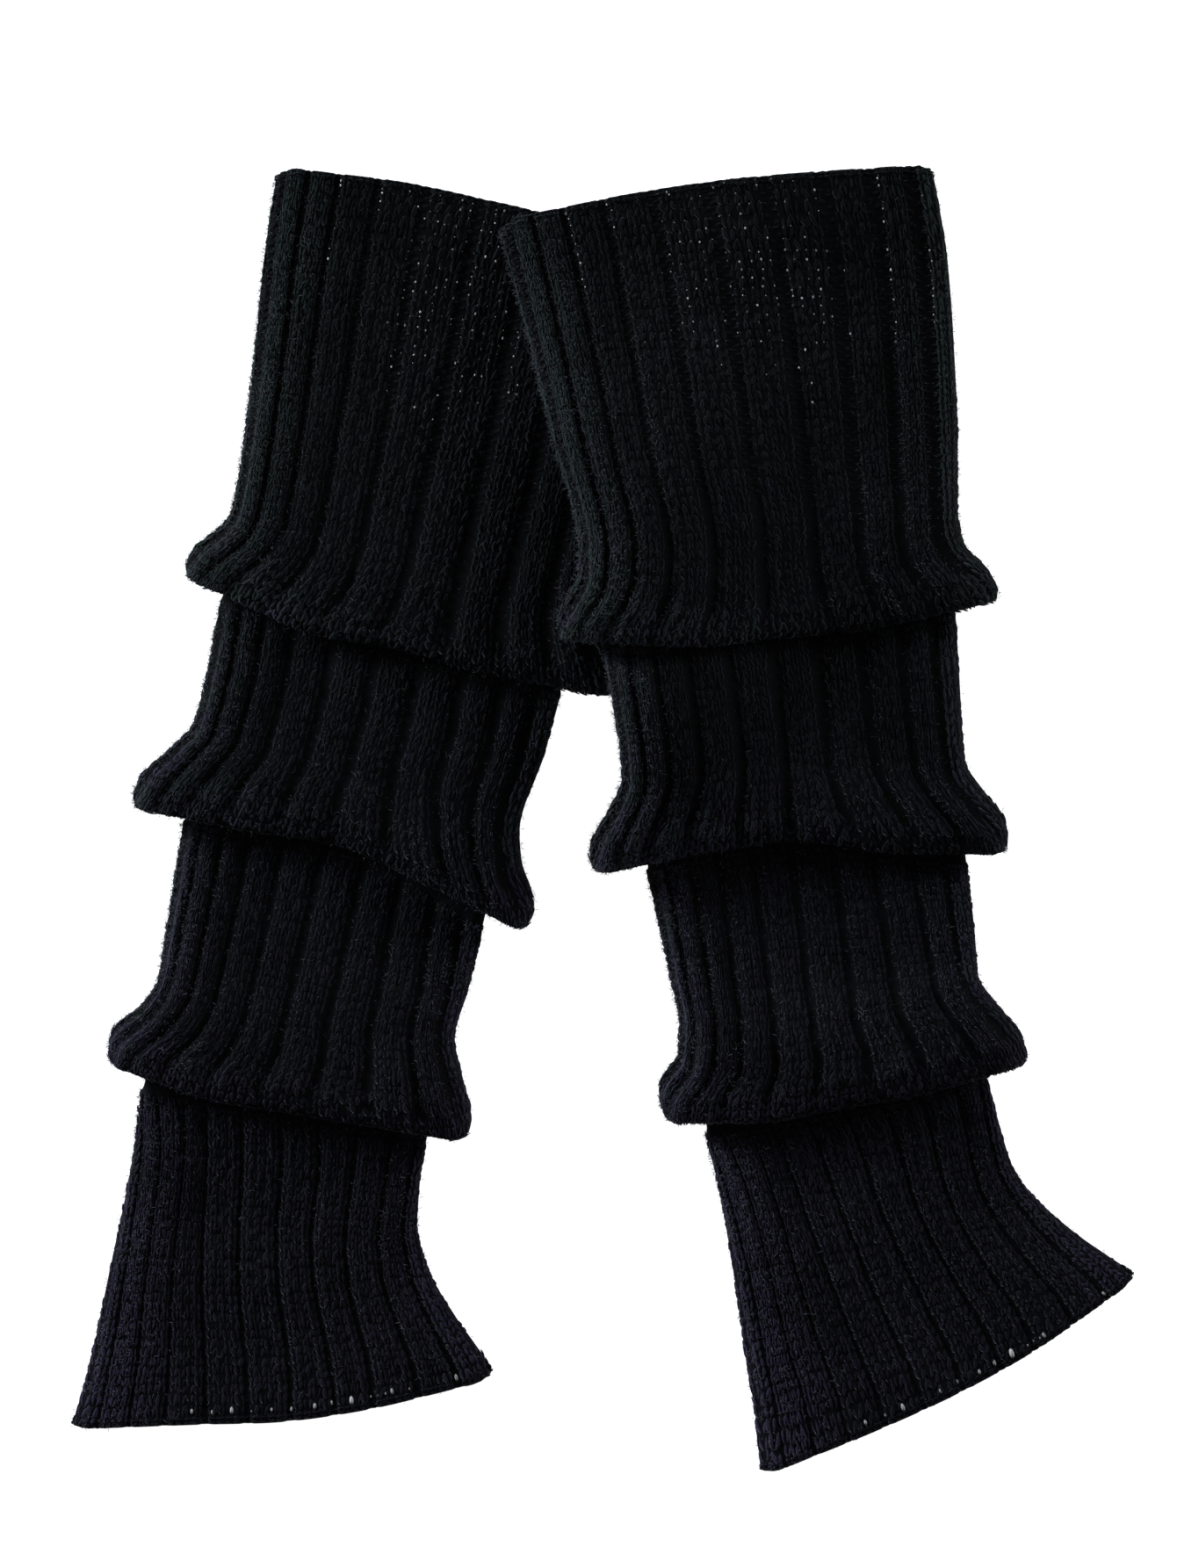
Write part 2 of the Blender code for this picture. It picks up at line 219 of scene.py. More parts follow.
def yarn_finish(name, colours, sheen):
    """Near-black wool, greenish at the top and navy at the hem. Each stitch and fibre has its own shade."""
    dark, green, navy = [(*colour, 1) for colour in colours]
    finish = Finish(name)
    place = finish.node("ShaderNodeTexCoord", {}, {}, "Object")
    shade = finish.node("ShaderNodeAttribute", {"attribute_name": "shade"}, {}, "Fac")
    # The colour is paler and more navy further down the legs.
    down_leg = finish.node("ShaderNodeSeparateXYZ", {}, {"Vector": place}, "Y") * -4.0 + 0.5
    patches = finish.noise(place, 45.0, 3.0)
    cast = finish.noise(place, 110.0, 5.0)
    fibres = finish.noise(place, FIBRE_SCALE, 2.0)
    # A shade above 1 is painted light. It takes the colour past the pale end.
    tone = 0.75 * patches + 0.25 * shade + 0.75 * fibres + 0.16 * down_leg - 0.68
    pale = finish.between(green, navy, 3.0 * cast + down_leg - 0.03 * shade - 1.32)
    bump = finish.node("ShaderNodeBump", {}, {"Height": fibres, "Distance": 0.3 * MM, "Strength": 0.25})
    finish.fill(finish.surface, {
        "Base Color": finish.between(dark, pale, tone.at_least(0.0), clamped=False),
        "Roughness": 0.9,
        "Specular IOR Level": 0.05,
        "Sheen Weight": sheen,
        "Sheen Roughness": 0.4,
        "Sheen Tint": (0.82, 0.88, 1.0, 1),
        "Normal": bump,
    })
    return finish.material


yarn = yarn_finish("black_yarn", STITCH_COLOURS, 0.05)
shaded_wall_yarn = yarn_finish("black_yarn_painted_shade", SHADED_WALL_COLOURS, 0.03)
print("yarn finishes:", yarn.name, shaded_wall_yarn.name)

# %% [markdown]
# The tube is set out from cross lines. Each line runs from the left side edge of a leg warmer to its right
# side edge, and dips below the straight chord between them. The kind says what the tube does there: a rim
# or body line is pressed flat, lift, swell and rise lead up over the fold inside, flare and wing spread to
# the lip, and a neck is where the next tier comes out from under that lip. Sizes are millimetres.

# %% Cross lines of the two leg warmers
Line = namedtuple("Line", "kind left right dips")
DIP_PLACES = np.array((0.1, 0.3, 0.5, 0.7, 0.9))
PLAN_MIDDLE = np.array((-0.54, 1.15))  # the model's origin, in the plan of these tables

LEFT_LINES = (
    Line("rim", (-111.8, 218.3), (33.1, 194.0), (-5.5, -6.7, -5.4, -3.6, -1.6)),
    Line("body", (-115.4, 194.5), (26.6, 167.8), (-2, -3, -2, -1, 0)),
    Line("lift", (-119.3, 155.0), (16.1, 126.4), (1, 1.5, 2, 2, 1)),
    Line("swell", (-121.6, 134.0), (9.4, 100.3), (2.5, 5, 5, 5, 4)),
    Line("rise", (-124.6, 113.2), (5.0, 82.3), (4.5, 9, 9, 9, 8)),
    Line("flare", (-126.8, 104.8), (3.1, 73.3), (6, 11, 10.5, 11, 10)),
    Line("wing", (-137.8, 94.6), (6.8, 61.0), (6.5, 12.5, 12, 13, 11.5)),
    Line("lip", (-143.4, 88.2), (9.0, 52.9), (7.6, 13.6, 12.5, 13.9, 12.6)),
    Line("neck", (-130.3, 77.2), (-13.7, 45.1), (2.2, 4.5, 2.8, 2.2, 1.2)),
    Line("swell", (-133.7, 56.9), (-19.3, 24.4), (2, 3, 1, 2, 3)),
    Line("rise", (-139.3, 33.8), (-27.3, 0.1), (2.5, 2, -0.5, 2.5, 7)),
    Line("flare", (-146.8, 25.9), (-26.7, -9.0), (3, 2, -0.8, 3, 8.5)),
    Line("wing", (-156.2, 17.2), (-22.4, -20.6), (3.4, 2.2, -1, 3.3, 9.4)),
    Line("lip", (-161.2, 9.8), (-20.9, -27.8), (4.2, 2.2, -1, 3.5, 9.2)),
    Line("neck", (-143.2, 0.8), (-40.0, -35.2), (-1.4, -4.5, -8.3, -6.7, -1.5)),
    Line("lift", (-146.2, -19.6), (-44.2, -51.8), (0, 0, -2, -1, 0)),
    Line("swell", (-148.7, -36.4), (-46.2, -58.6), (2, 3, 2.5, 2.5, 2)),
    Line("rise", (-151.0, -52.0), (-50.2, -73.0), (5, 7, 6.5, 5.5, 4)),
    Line("flare", (-156.3, -60.5), (-48.0, -83.8), (7, 9.5, 8.5, 7.5, 5.5)),
    Line("wing", (-166.2, -68.5), (-45.0, -94.3), (8, 10.6, 9.8, 8.5, 6.7)),
    Line("lip", (-169.3, -75.7), (-42.9, -102.0), (8.4, 11.4, 10.5, 9.4, 8.4)),
    Line("neck", (-157.7, -89.8), (-59.5, -106.6), (2.4, 2, 1.8, 1.7, 0.2)),
    Line("body", (-159.8, -107.2), (-62.2, -122.2), (2, 2, 2, 2, 1)),
    Line("body", (-164.5, -133.0), (-63.0, -137.2), (1, 2, 2, 2, 1)),
    Line("body", (-169.4, -154.7), (-59.1, -152.5), (2, 3, 4, 3, 2)),
    Line("body", (-174.1, -176.2), (-49.5, -168.8), (3, 4.5, 6, 5.5, 4)),
    Line("body", (-178.6, -193.7), (-41.9, -178.9), (3.5, 6, 8, 7.5, 5)),
    Line("rim", (-182.0, -204.6), (-37.8, -186.1), (4.2, 6.8, 9.5, 9, 5.9)),
)

RIGHT_LINES = (
    Line("rim", (-34.4, 198.0), (113.3, 219.4), (-7.1, -8.9, -9.2, -7.9, -5.7)),
    Line("body", (-30.1, 181.9), (117.9, 190.9), (-4, -5, -5, -3.5, -2)),
    Line("lift", (-23.8, 159.2), (119.8, 162.2), (0, 0, 0, 1, 1)),
    Line("swell", (-16.1, 128.8), (121.1, 130.3), (3, 4, 4, 4, 2)),
    Line("rise", (-7.9, 96.1), (121.0, 106.3), (6, 8.5, 8, 7, 4)),
    Line("flare", (-7.9, 86.8), (123.1, 95.5), (7.5, 10.5, 10, 8.5, 4.5)),
    Line("wing", (-13.0, 76.0), (131.2, 86.5), (8.2, 11.5, 11, 9.5, 5.0)),
    Line("lip", (-17.0, 68.6), (136.6, 79.0), (9.0, 12.3, 11.5, 10.5, 6.0)),
    Line("neck", (-0.1, 60.1), (120.4, 72.8), (1.7, 4.3, 4.4, 4.1, 2.3)),
    Line("swell", (3.4, 40.4), (121.6, 49.4), (3, 3, 3, 4, 3)),
    Line("rise", (6.5, 17.2), (123.2, 23.6), (4.5, 2, 0.5, 4, 6)),
    Line("flare", (2.8, 7.6), (128.3, 14.8), (5, 2, 0.2, 4.7, 7)),
    Line("wing", (-3.5, -3.8), (136.5, 4.8), (5.4, 2, 0.1, 5.1, 7.5)),
    Line("lip", (-5.7, -10.8), (139.5, -2.9), (6.0, 2.2, 0.2, 5.7, 7.7)),
    Line("neck", (14.5, -16.3), (124.6, -13.3), (-2.1, -6.3, -7.2, -3.1, -0.7)),
    Line("lift", (20.2, -40.0), (126.8, -35.9), (0, -1, -1, 0, 0)),
    Line("swell", (23.3, -53.9), (127.4, -45.1), (4, 4, 3.5, 3.5, 2)),
    Line("rise", (25.9, -65.2), (127.9, -52.6), (7.5, 8, 7.5, 6.5, 3)),
    Line("flare", (25.3, -75.6), (133.7, -61.0), (10, 11.2, 9.7, 8, 4.3)),
    Line("wing", (19.4, -84.5), (142.0, -71.0), (11.4, 12.8, 10.8, 9, 4.9)),
    Line("lip", (17.7, -92.3), (146.2, -79.6), (11.9, 13.7, 11.6, 9.6, 5.2)),
    Line("neck", (34.2, -105.1), (131.2, -86.2), (2.2, 2.1, 2.2, 2.4, 1.1)),
    Line("body", (38.2, -121.6), (135.2, -102.5), (2, 2, 2, 2, 1)),
    Line("body", (41.5, -138.4), (140.5, -118.3), (2, 3, 3, 3, 2)),
    Line("body", (44.9, -161.8), (150.8, -130.7), (3, 4, 4.5, 4.5, 3)),
    Line("body", (47.5, -182.2), (163.4, -141.2), (4, 5.5, 6.5, 6, 4)),
    Line("body", (50.1, -199.7), (174.1, -148.1), (5, 7, 8.5, 7.8, 5)),
    Line("rim", (52.4, -220.0), (180.6, -153.4), (5.6, 8.2, 9.6, 8.8, 5.1)),
)
print("cross lines:", len(LEFT_LINES), "on the left one and", len(RIGHT_LINES), "on the right one")

# %% [markdown]
# A ring is one way round the tube. Between the outer layer of a tier and the neck of the next one, the
# rings go round the lip, back up inside, round a tight hidden turn and down again, so the tube is as long
# as the real one. Every number of a ring is then carried smoothly along the tube by a curve that never
# overshoots.

# %% Sizes of the folded wall
WALL = 1.8  # from a groove's bottom to the next layer's
CLOTH = 1.2  # from a groove's bottom to the wrong side
RIB_RISE = 1.2  # what the ribs add to the height
SLOT = 0.6  # between the front and the back of the pressed tube
NEST = 0.6  # between layers inside a fold
# Half thickness of the tube where it is single, where it runs back up inside, and over both
FLAT = SLOT / 2 + WALL
TUCKED = FLAT + NEST
STACK = TUCKED + WALL + NEST + WALL
HALF = {"body": FLAT, "lift": 3.2, "swell": 4.3, "rise": 6.0, "flare": STACK - 0.2, "wing": STACK - 0.1,
        "neck": FLAT}
NECK_MIDDLE = 4.4  # how high the middle of the tube is where it comes out from under a lip
NECK_RISE = 0.4  # how much of their height the ribs have there
TROUGHS = {  # past a neck: share of the way to the next line, half thickness, and height of the middle
    "swell": ((0.22, 2.1, 2.7), (0.48, 3.0, 3.3)),
    "lift": ((0.22, 2.1, 2.3), (0.48, 2.4, 2.5)),
    "body": ((0.22, 2.1, 2.2), (0.48, 2.1, 2.2)),
}
FOLD_DEPTH = 24.0  # how far above a neck's line the hidden turn is
LIP_SHARE = 0.7  # how much of the way from wing to lip is taken by the turn
LIP_CURVE = 1.3  # above 1, the upper half of the turn falls away sooner than a half circle
LOBE = 2.2  # how far the lowest edge of a lip stays from its ends
DROOP = 0.6  # how far the top of a tier has come down where its lip begins
PINCH = 3.0  # how much narrower the tube is at each side, at the hidden turn
NECK_SHIFT = 1.0  # how far below its line the tube comes out
RIM_ROUND = 1.0  # how far the rounded edge of a rim reaches into the cloth
EDGE_MARGIN = 0.7  # what the ribs and stitches add to the tube at its side edges
LIP_CORNER = 8.0  # plan radius of the corners where a lip meets the side edges
print("half thickness: flat", FLAT, "mm, over a fold", round(STACK, 1), "mm")

# %% Rings
# Where a ring lies is its line, moved shift down the leg. core is how far its straight part stays from the
# ends of the line, half is the half thickness of the tube there, and mid is how high its middle is. rise is 1
# where the ribs stand free, and 0 inside a fold.
RING_FIELDS = "lx ly rx ry dip1 dip2 dip3 dip4 dip5 shift core half mid rise"
Ring = namedtuple("Ring", RING_FIELDS)


def ring(line, shift, core, half, mid, rise):
    return Ring(*line.left, *line.right, *line.dips, shift, core, half, mid, rise)


def part_way(first, second, share):
    """A line between two lines."""
    pairs = zip(first[1:], second[1:])
    left, right, dips = [np.array(a) * (1 - share) + np.array(b) * share for a, b in pairs]
    return Line("trough", tuple(left), tuple(right), tuple(dips))


def rim_rings(line, end, inner):
    """The rounded edge of the cloth, from its very edge inwards. end is 1 at the top and -1 at the hem."""
    side = -1 if inner else 1
    found = []
    for angle in np.radians((90, 60, 30, 0)):
        half = FLAT - CLOTH / 2 + side * CLOTH / 2 * np.cos(angle)
        shift = end * RIM_ROUND * (1 - np.sin(angle))
        found.append(ring(line, shift, FLAT + EDGE_MARGIN, half, FLAT, 0.5 + 0.5 * np.cos(angle)))
    return found[::end]


def fold_rings(lip, wing, neck, inner):
    """Round the lip, up inside, round the hidden turn and down to the neck. inner is for the wrong side."""
    found = []
    wall = CLOTH if inner else 0.0
    top = STACK - DROOP / 2
    middle, radius = (top + TUCKED) / 2, (top - TUCKED) / 2
    for angle in np.radians(range(0, 181, 15)):
        turned = np.cos(angle)
        height = turned ** LIP_CURVE if turned > 0 else turned
        half = middle + (radius - wall) * height
        edge = middle + radius * height + wall * np.sin(angle)
        core = edge + (STACK - edge) * max(-turned, 0) + EDGE_MARGIN + LOBE * np.sin(angle) ** 3
        line = part_way(wing, lip, 1 - LIP_SHARE * (1 - np.sin(angle)))
        found.append(ring(line, -wall * np.sin(angle), core, half, top, ((1 + turned) / 2) ** 2))
    found.append(ring(wing, 0.0, STACK + EDGE_MARGIN, TUCKED + wall, STACK, 0.0))
    middle, radius = (TUCKED + FLAT) / 2, NEST / 2
    for angle in np.radians((0, 90, 180)):
        half = middle + (radius + wall) * np.cos(angle)
        shift = -FOLD_DEPTH - (radius + wall) * np.sin(angle)
        found.append(ring(neck, shift, FLAT + EDGE_MARGIN + PINCH, half, STACK, 0.0))
    found.append(ring(neck, -FOLD_DEPTH / 2, FLAT + EDGE_MARGIN + PINCH / 2, FLAT - wall, STACK, 0.0))
    return found


def tube_rings(lines, inner=False):
    """All rings from the top rim to the hem, with the number of the line that each belongs to."""
    wall = CLOTH if inner else 0.0
    found = [(0, made) for made in rim_rings(lines[0], 1, inner)]
    for n in range(1, len(lines) - 1):
        line = lines[n]
        if line.kind == "lip":
            found += [(n, made) for made in fold_rings(line, lines[n - 1], lines[n + 1], inner)]
        else:
            half = HALF[line.kind]
            neck = line.kind == "neck"
            shift, mid, rise = (NECK_SHIFT, NECK_MIDDLE, NECK_RISE) if neck else (0.0, half, 1.0)
            found.append((n, ring(line, shift, half + EDGE_MARGIN, half - wall, mid, rise)))
            for share, half, mid in TROUGHS[lines[n + 1].kind] if neck else ():
                trough = part_way(line, lines[n + 1], share)
                found.append((n + share, ring(trough, 0.0, half + EDGE_MARGIN, half - wall, mid, 1.0)))
    return found + [(len(lines) - 1, made) for made in rim_rings(lines[-1], -1, inner)]


print("rings of a leg warmer:", len(tube_rings(LEFT_LINES)))


# %% Smooth curves through the rings
def step_curve(t, step, start, end, rate, rate_end):
    """From start to end on a smooth curve, with the given rates at both. t goes from 0 to 1 over the step."""
    ease = t * t * (3 - 2 * t)
    bend_in = (t ** 3 - 2 * t ** 2 + t) * step * rate
    bend_out = (t ** 3 - t ** 2) * step * rate_end
    return start + (end - start) * ease + bend_in + bend_out


def carried(knots, values, at):
    """Values between knots, on a smooth curve that never overshoots. values has a row for each knot."""
    gap = np.diff(knots)
    rate = np.diff(values, axis=0) / gap[:, None]
    before, after = rate[:-1], rate[1:]
    slope = np.zeros_like(values, dtype=float)
    turning = before * after <= 0
    total = np.where(turning, 1.0, before + after)
    slope[1:-1] = np.where(turning, 0.0, 2 * before * after / total)
    slope[0], slope[-1] = rate[0], rate[-1]
    k = np.clip(np.searchsorted(knots, at, side="right") - 1, 0, len(knots) - 2)
    t = ((at - knots[k]) / gap[k])[:, None]
    return step_curve(t, gap[k][:, None], values[k], values[k + 1], slope[k], slope[k + 1])


def smooth(t):
    t = np.clip(t, 0, 1)
    return t * t * (3 - 2 * t)


def smooth_end(t):
    """Steep at 0 and level at 1."""
    return 1 - (1 - np.clip(t, 0, 1)) ** 2


# %% [markdown]
# The ribs run the whole length of the tube. On the front, nine grooves show at the top and ten at the hem,
# because the tube is twisted a little in its last tier and one more groove comes round from the left edge.
# The table gives the grooves' places from the left edge to the right one as shares of the width. The ribs
# on the underside are spaced evenly.

# %% Where the grooves run
GROOVES = {
    0: (0.018, 0.072, 0.144, 0.236, 0.350, 0.478, 0.610, 0.740, 0.850, 0.940),
    4: (0.018, 0.067, 0.139, 0.228, 0.342, 0.472, 0.610, 0.735, 0.845, 0.935),
    7: (0.014, 0.050, 0.106, 0.203, 0.322, 0.456, 0.606, 0.733, 0.850, 0.957),
    8: (0.018, 0.064, 0.136, 0.224, 0.339, 0.467, 0.591, 0.720, 0.836, 0.929),
    13: (0.016, 0.063, 0.128, 0.222, 0.350, 0.476, 0.622, 0.783, 0.894, 0.962),
    14: (0.018, 0.058, 0.129, 0.217, 0.322, 0.447, 0.580, 0.706, 0.830, 0.924),
    16: (0.016, 0.050, 0.122, 0.203, 0.313, 0.439, 0.578, 0.717, 0.850, 0.936),
    20: (0.008, 0.028, 0.072, 0.161, 0.280, 0.422, 0.570, 0.728, 0.876, 0.964),
    21: (0.016, 0.061, 0.150, 0.228, 0.350, 0.483, 0.617, 0.756, 0.883, 0.964),
    22: (0.030, 0.095, 0.178, 0.255, 0.378, 0.515, 0.645, 0.763, 0.880, 0.957),
    24: (0.055, 0.120, 0.203, 0.295, 0.408, 0.530, 0.640, 0.745, 0.852, 0.937),
    27: (0.060, 0.135, 0.220, 0.315, 0.413, 0.515, 0.620, 0.710, 0.820, 0.917),
}
FRONT_GROOVES = 10
RIBS = 20  # all the way round
WALES = 4  # columns of knit stitches in a rib
# At each line, what the left edge, the middle and the right edge have. Between them it changes evenly.
GROOVE_WIDTHS = {  # as a share of the ribs beside the groove
    0: (0.22, 0.10, 0.42),
    2: (0.24, 0.17, 0.42),
    4: (0.26, 0.26, 0.40),
    8: (0.28, 0.28, 0.36),
    13: (0.28, 0.26, 0.30),
    20: (0.24, 0.24, 0.26),
    22: (0.12, 0.16, 0.20),
    27: (0.10, 0.13, 0.16),
}
RIB_HEIGHTS = {  # mm
    0: (1.1, 0.35, 0.95),
    3: (1.3, 0.7, 1.1),
    5: (1.6, 0.95, 1.3),
    6: (2.0, 1.1, 1.4),
    7: (1.4, 0.4, 0.6),
    8: (0.9, 0.8, 1.0),
    11: (1.6, 1.1, 1.4),
    12: (2.0, 1.2, 1.5),
    13: (1.4, 0.4, 0.6),
    14: (0.9, 0.8, 1.0),
    18: (1.6, 1.1, 1.3),
    19: (2.0, 1.2, 1.4),
    20: (1.4, 0.4, 0.6),
    21: (0.5, 0.7, 0.8),
    27: (0.4, 0.6, 0.7),
}


def spread(table, line_at, grooves):
    """What a table gives for places down the tube, and for places round it counted in grooves."""
    known = sorted(table)
    rows = carried(np.array(known, float), np.array([table[n] for n in known]), line_at)
    under = (RIBS - grooves) / (RIBS - FRONT_GROOVES + 1)
    across = np.clip(np.where(grooves < FRONT_GROOVES, grooves / (FRONT_GROOVES - 1), under), 0, 1)
    to_middle, to_right = np.clip(2 * across, 0, 1), np.clip(2 * across - 1, 0, 1)
    left, middle, right = rows[:, :1], rows[:, 1:2], rows[:, 2:]
    return left + (middle - left) * to_middle + (right - middle) * to_right


def turn_of(share, width, core, half):
    """How far round the tube a place on the front is, from its share of the width, both from the left."""
    x = share * width
    way = width - 2 * core + np.pi * half
    rolled = half * np.arccos(np.clip((core - x) / half, -1, 1))
    far_rolled = half * np.arccos(np.clip((core - (width - x)) / half, -1, 1))
    flat = np.pi * half / 2 + x - core
    return np.where(x < core, rolled, np.where(x > width - core, way - far_rolled, flat)) / way


def groove_turns(fields, line_at):
    """For each ring, the turns of all grooves, from the first one to the same one met again."""
    known = sorted(GROOVES)
    shares = carried(np.array(known, float), np.array([GROOVES[n] for n in known]), line_at)
    width = np.hypot(fields["rx"] - fields["lx"], fields["ry"] - fields["ly"])
    front = turn_of(shares, width[:, None], fields["core"][:, None], fields["half"][:, None])
    first, last = front[:, :1], front[:, -1:]
    under = np.arange(1, RIBS - FRONT_GROOVES + 1) / (RIBS - FRONT_GROOVES + 1)
    return np.hstack([front, last + (first + 2 - last) * under, first + 2])


# %% [markdown]
# Without its ribs, the tube is a pressed one: straight across the front and the back, and half round at
# both side edges. A place on it is given by how far round the tube it lies: 0 at the left edge, 1 at the
# right edge and 2 at the left edge again. Between the edges the front stands up a little, because cloth
# this thick is never dead flat.

# %% Places on the pressed tube
PUFF = 1.5  # mm that the top stands up between the side edges
PUFF_LEFT = 11.0  # over how many millimetres it rises from the left edge
PUFF_RIGHT = 22.0


def dip(f, x, width):
    """How far the line hangs below its chord, smooth through the five dips, with rounded plan corners."""
    dips = np.stack([f[f"dip{n}"] for n in range(1, 6)], axis=1)
    slope = np.gradient(dips, DIP_PLACES, axis=1)
    share = x / width
    k = np.clip(np.searchsorted(DIP_PLACES, share, side="right") - 1, 0, 3)
    step = DIP_PLACES[k + 1] - DIP_PLACES[k]
    t = (share - DIP_PLACES[k]) / step
    inside = np.clip(t, 0, 1)
    start, end = np.take_along_axis(dips, k, 1), np.take_along_axis(dips, k + 1, 1)
    rate, rate_end = np.take_along_axis(slope, k, 1), np.take_along_axis(slope, k + 1, 1)
    depth = step_curve(inside, step, start, end, rate, rate_end)
    depth += (t - inside) * step * np.where(t < 0, rate, rate_end)
    inset = np.clip(np.minimum(x, width - x) / LIP_CORNER, 0, 1)
    return depth * np.sqrt(1 - (1 - inset) ** 2)


def pressed(f, turn, lift):
    """Points on the pressed tube, and its way from edge to edge. f holds the numbers of the rings."""
    width = np.hypot(f["rx"] - f["lx"], f["ry"] - f["ly"])[:, None]
    core, half, mid = f["core"][:, None], np.maximum(f["half"], 0.05)[:, None], f["mid"][:, None]
    straight = width - 2 * core
    bend = np.pi * half / 2
    way = np.mod(turn, 2) * (straight + 2 * bend)
    right = way - bend - straight
    below = right - 2 * bend
    left = below - straight
    legs = [way < bend, right < 0, below < 0, left < 0]
    x = np.select(legs, [
        core - half * np.cos(way / half),
        core + way - bend,
        width - core + half * np.sin(right / half),
        width - core - below,
    ], core - half * np.sin(left / half))
    z = np.select(legs, [
        mid + half * np.sin(way / half),
        mid + half + 0 * way,
        mid + half * np.cos(right / half),
        mid - half + 0 * way,
    ], mid - half * np.cos(left / half))
    from_edges = [smooth_end(x / PUFF_LEFT), smooth_end((width - x) / PUFF_RIGHT)]
    z += PUFF * f["rise"][:, None] * from_edges[0] * from_edges[1] * (z - mid + half) / (2 * half)
    down = f["shift"][:, None] + dip(f, x, width)
    ex = (f["rx"] - f["lx"])[:, None] / width
    ey = (f["ry"] - f["ly"])[:, None] / width
    px = f["lx"][:, None] + ex * x + ey * down
    py = f["ly"][:, None] + ey * x - ex * down
    return np.stack([px, py, z + lift(px, py)], axis=2), straight + 2 * bend


# %% [markdown]
# The ribs are a rule as well. Across a rib the profile is a low dome that falls steeply into the groove on
# each side, and a groove has a flat bottom. The ribs stand out sideways and upwards only: underneath, the
# tube's own weight presses them flat, and just shallow grooves are left.

# %% Ribs and grooves
SHOULDER = 1.5  # mm from the edge of a groove up to the crest of its rib
GROOVE_BOTTOM = 0.34  # half the width of a groove's flat bottom, as a share of the groove
SINK = 0.34  # share of the ribs' height that lies below the tube's own level
UNDER_GROOVE = 0.5


def rib_relief(f, part, rib_width, gaps, high, out):
    """How far the ribs stand out: rounded, with flat grooves. The underside is flat but for its grooves."""
    profile = 0.84 + 0.16 * np.sin(np.pi * part)
    for beside, gap in ((part, gaps[0]), (1 - part, gaps[1])):
        bottom = GROOVE_BOTTOM * gap * rib_width
        profile = profile * smooth((beside * rib_width - bottom) / (gap * rib_width / 2 - bottom + SHOULDER))
    tucked = smooth((f["mid"] - f["half"] - 1.0) / 1.0)[:, None]
    way_up = out * np.array((1, 1, 0)) + np.maximum(out[..., 2:], 0) * np.array((0, 0, 1))
    sunk = UNDER_GROOVE * (1 - profile) * smooth(-out[..., 2]) * (1 - tucked)
    return (high * (profile - SINK))[..., None] * way_up + sunk[..., None] * np.array((0, 0, 1))


# %% [markdown]
# Knit this thick takes no sharp creases. Where the tube is pushed down into a tier, single ribs stand up as
# soft ridges just above the lip, most of them at the left, where they catch the light, and shallow troughs
# lie between them and across the tiers. Each is placed one by one, with its own length, width and height.
# Sizes are millimetres, in the plan of the tables above, and a trough has a height below 0.

# %% Soft ridges and troughs
Crease = namedtuple("Crease", "start end wide high")
LEFT_CREASES = (
    Crease((-107.0, 100.0), (-120.0, 79.5), 1.5, 1.0),
    Crease((-98.0, 90.0), (-105.5, 74.0), 1.2, 0.8),
    Crease((-118.0, 96.0), (-128.5, 84.0), 1.8, -0.6),
    Crease((-84.0, 90.0), (-88.5, 68.0), 2.2, -0.5),
    Crease((-62.0, 84.0), (-66.0, 62.0), 2.0, 0.5),
    Crease((-40.0, 80.0), (-38.0, 58.0), 2.6, -0.5),
    Crease((-118.5, 18.0), (-122.0, 1.0), 1.3, 0.9),
    Crease((-103.0, 6.0), (-104.0, -4.5), 1.2, 0.6),
    Crease((-128.0, 20.0), (-136.5, 6.0), 1.8, -0.6),
    Crease((-86.0, 4.0), (-92.0, -8.0), 3.0, -0.7),
    Crease((-66.0, 0.0), (-56.0, -22.0), 3.2, 0.8),
    Crease((-58.0, 8.0), (-46.0, -18.0), 2.2, -0.5),
    Crease((-134.0, -72.0), (-142.5, -84.0), 1.5, 0.8),
    Crease((-124.5, -74.0), (-127.0, -87.0), 1.3, 0.6),
    Crease((-108.0, -72.0), (-112.0, -90.0), 2.4, -0.5),
    Crease((-86.0, -76.0), (-84.0, -96.0), 2.8, -0.6),
    Crease((-70.0, -80.0), (-66.0, -100.0), 2.0, 0.5),
    Crease((-96.0, 196.0), (-104.0, 132.0), 5.0, -0.5),
    Crease((-30.0, 176.0), (-58.0, 118.0), 6.0, -0.6),
    Crease((-112.0, 60.0), (-78.0, 48.0), 5.0, -0.4),
    Crease((-140.0, -16.0), (-104.0, -34.0), 5.0, -0.4),
    Crease((-150.0, -128.0), (-96.0, -142.0), 7.0, -0.5),
)
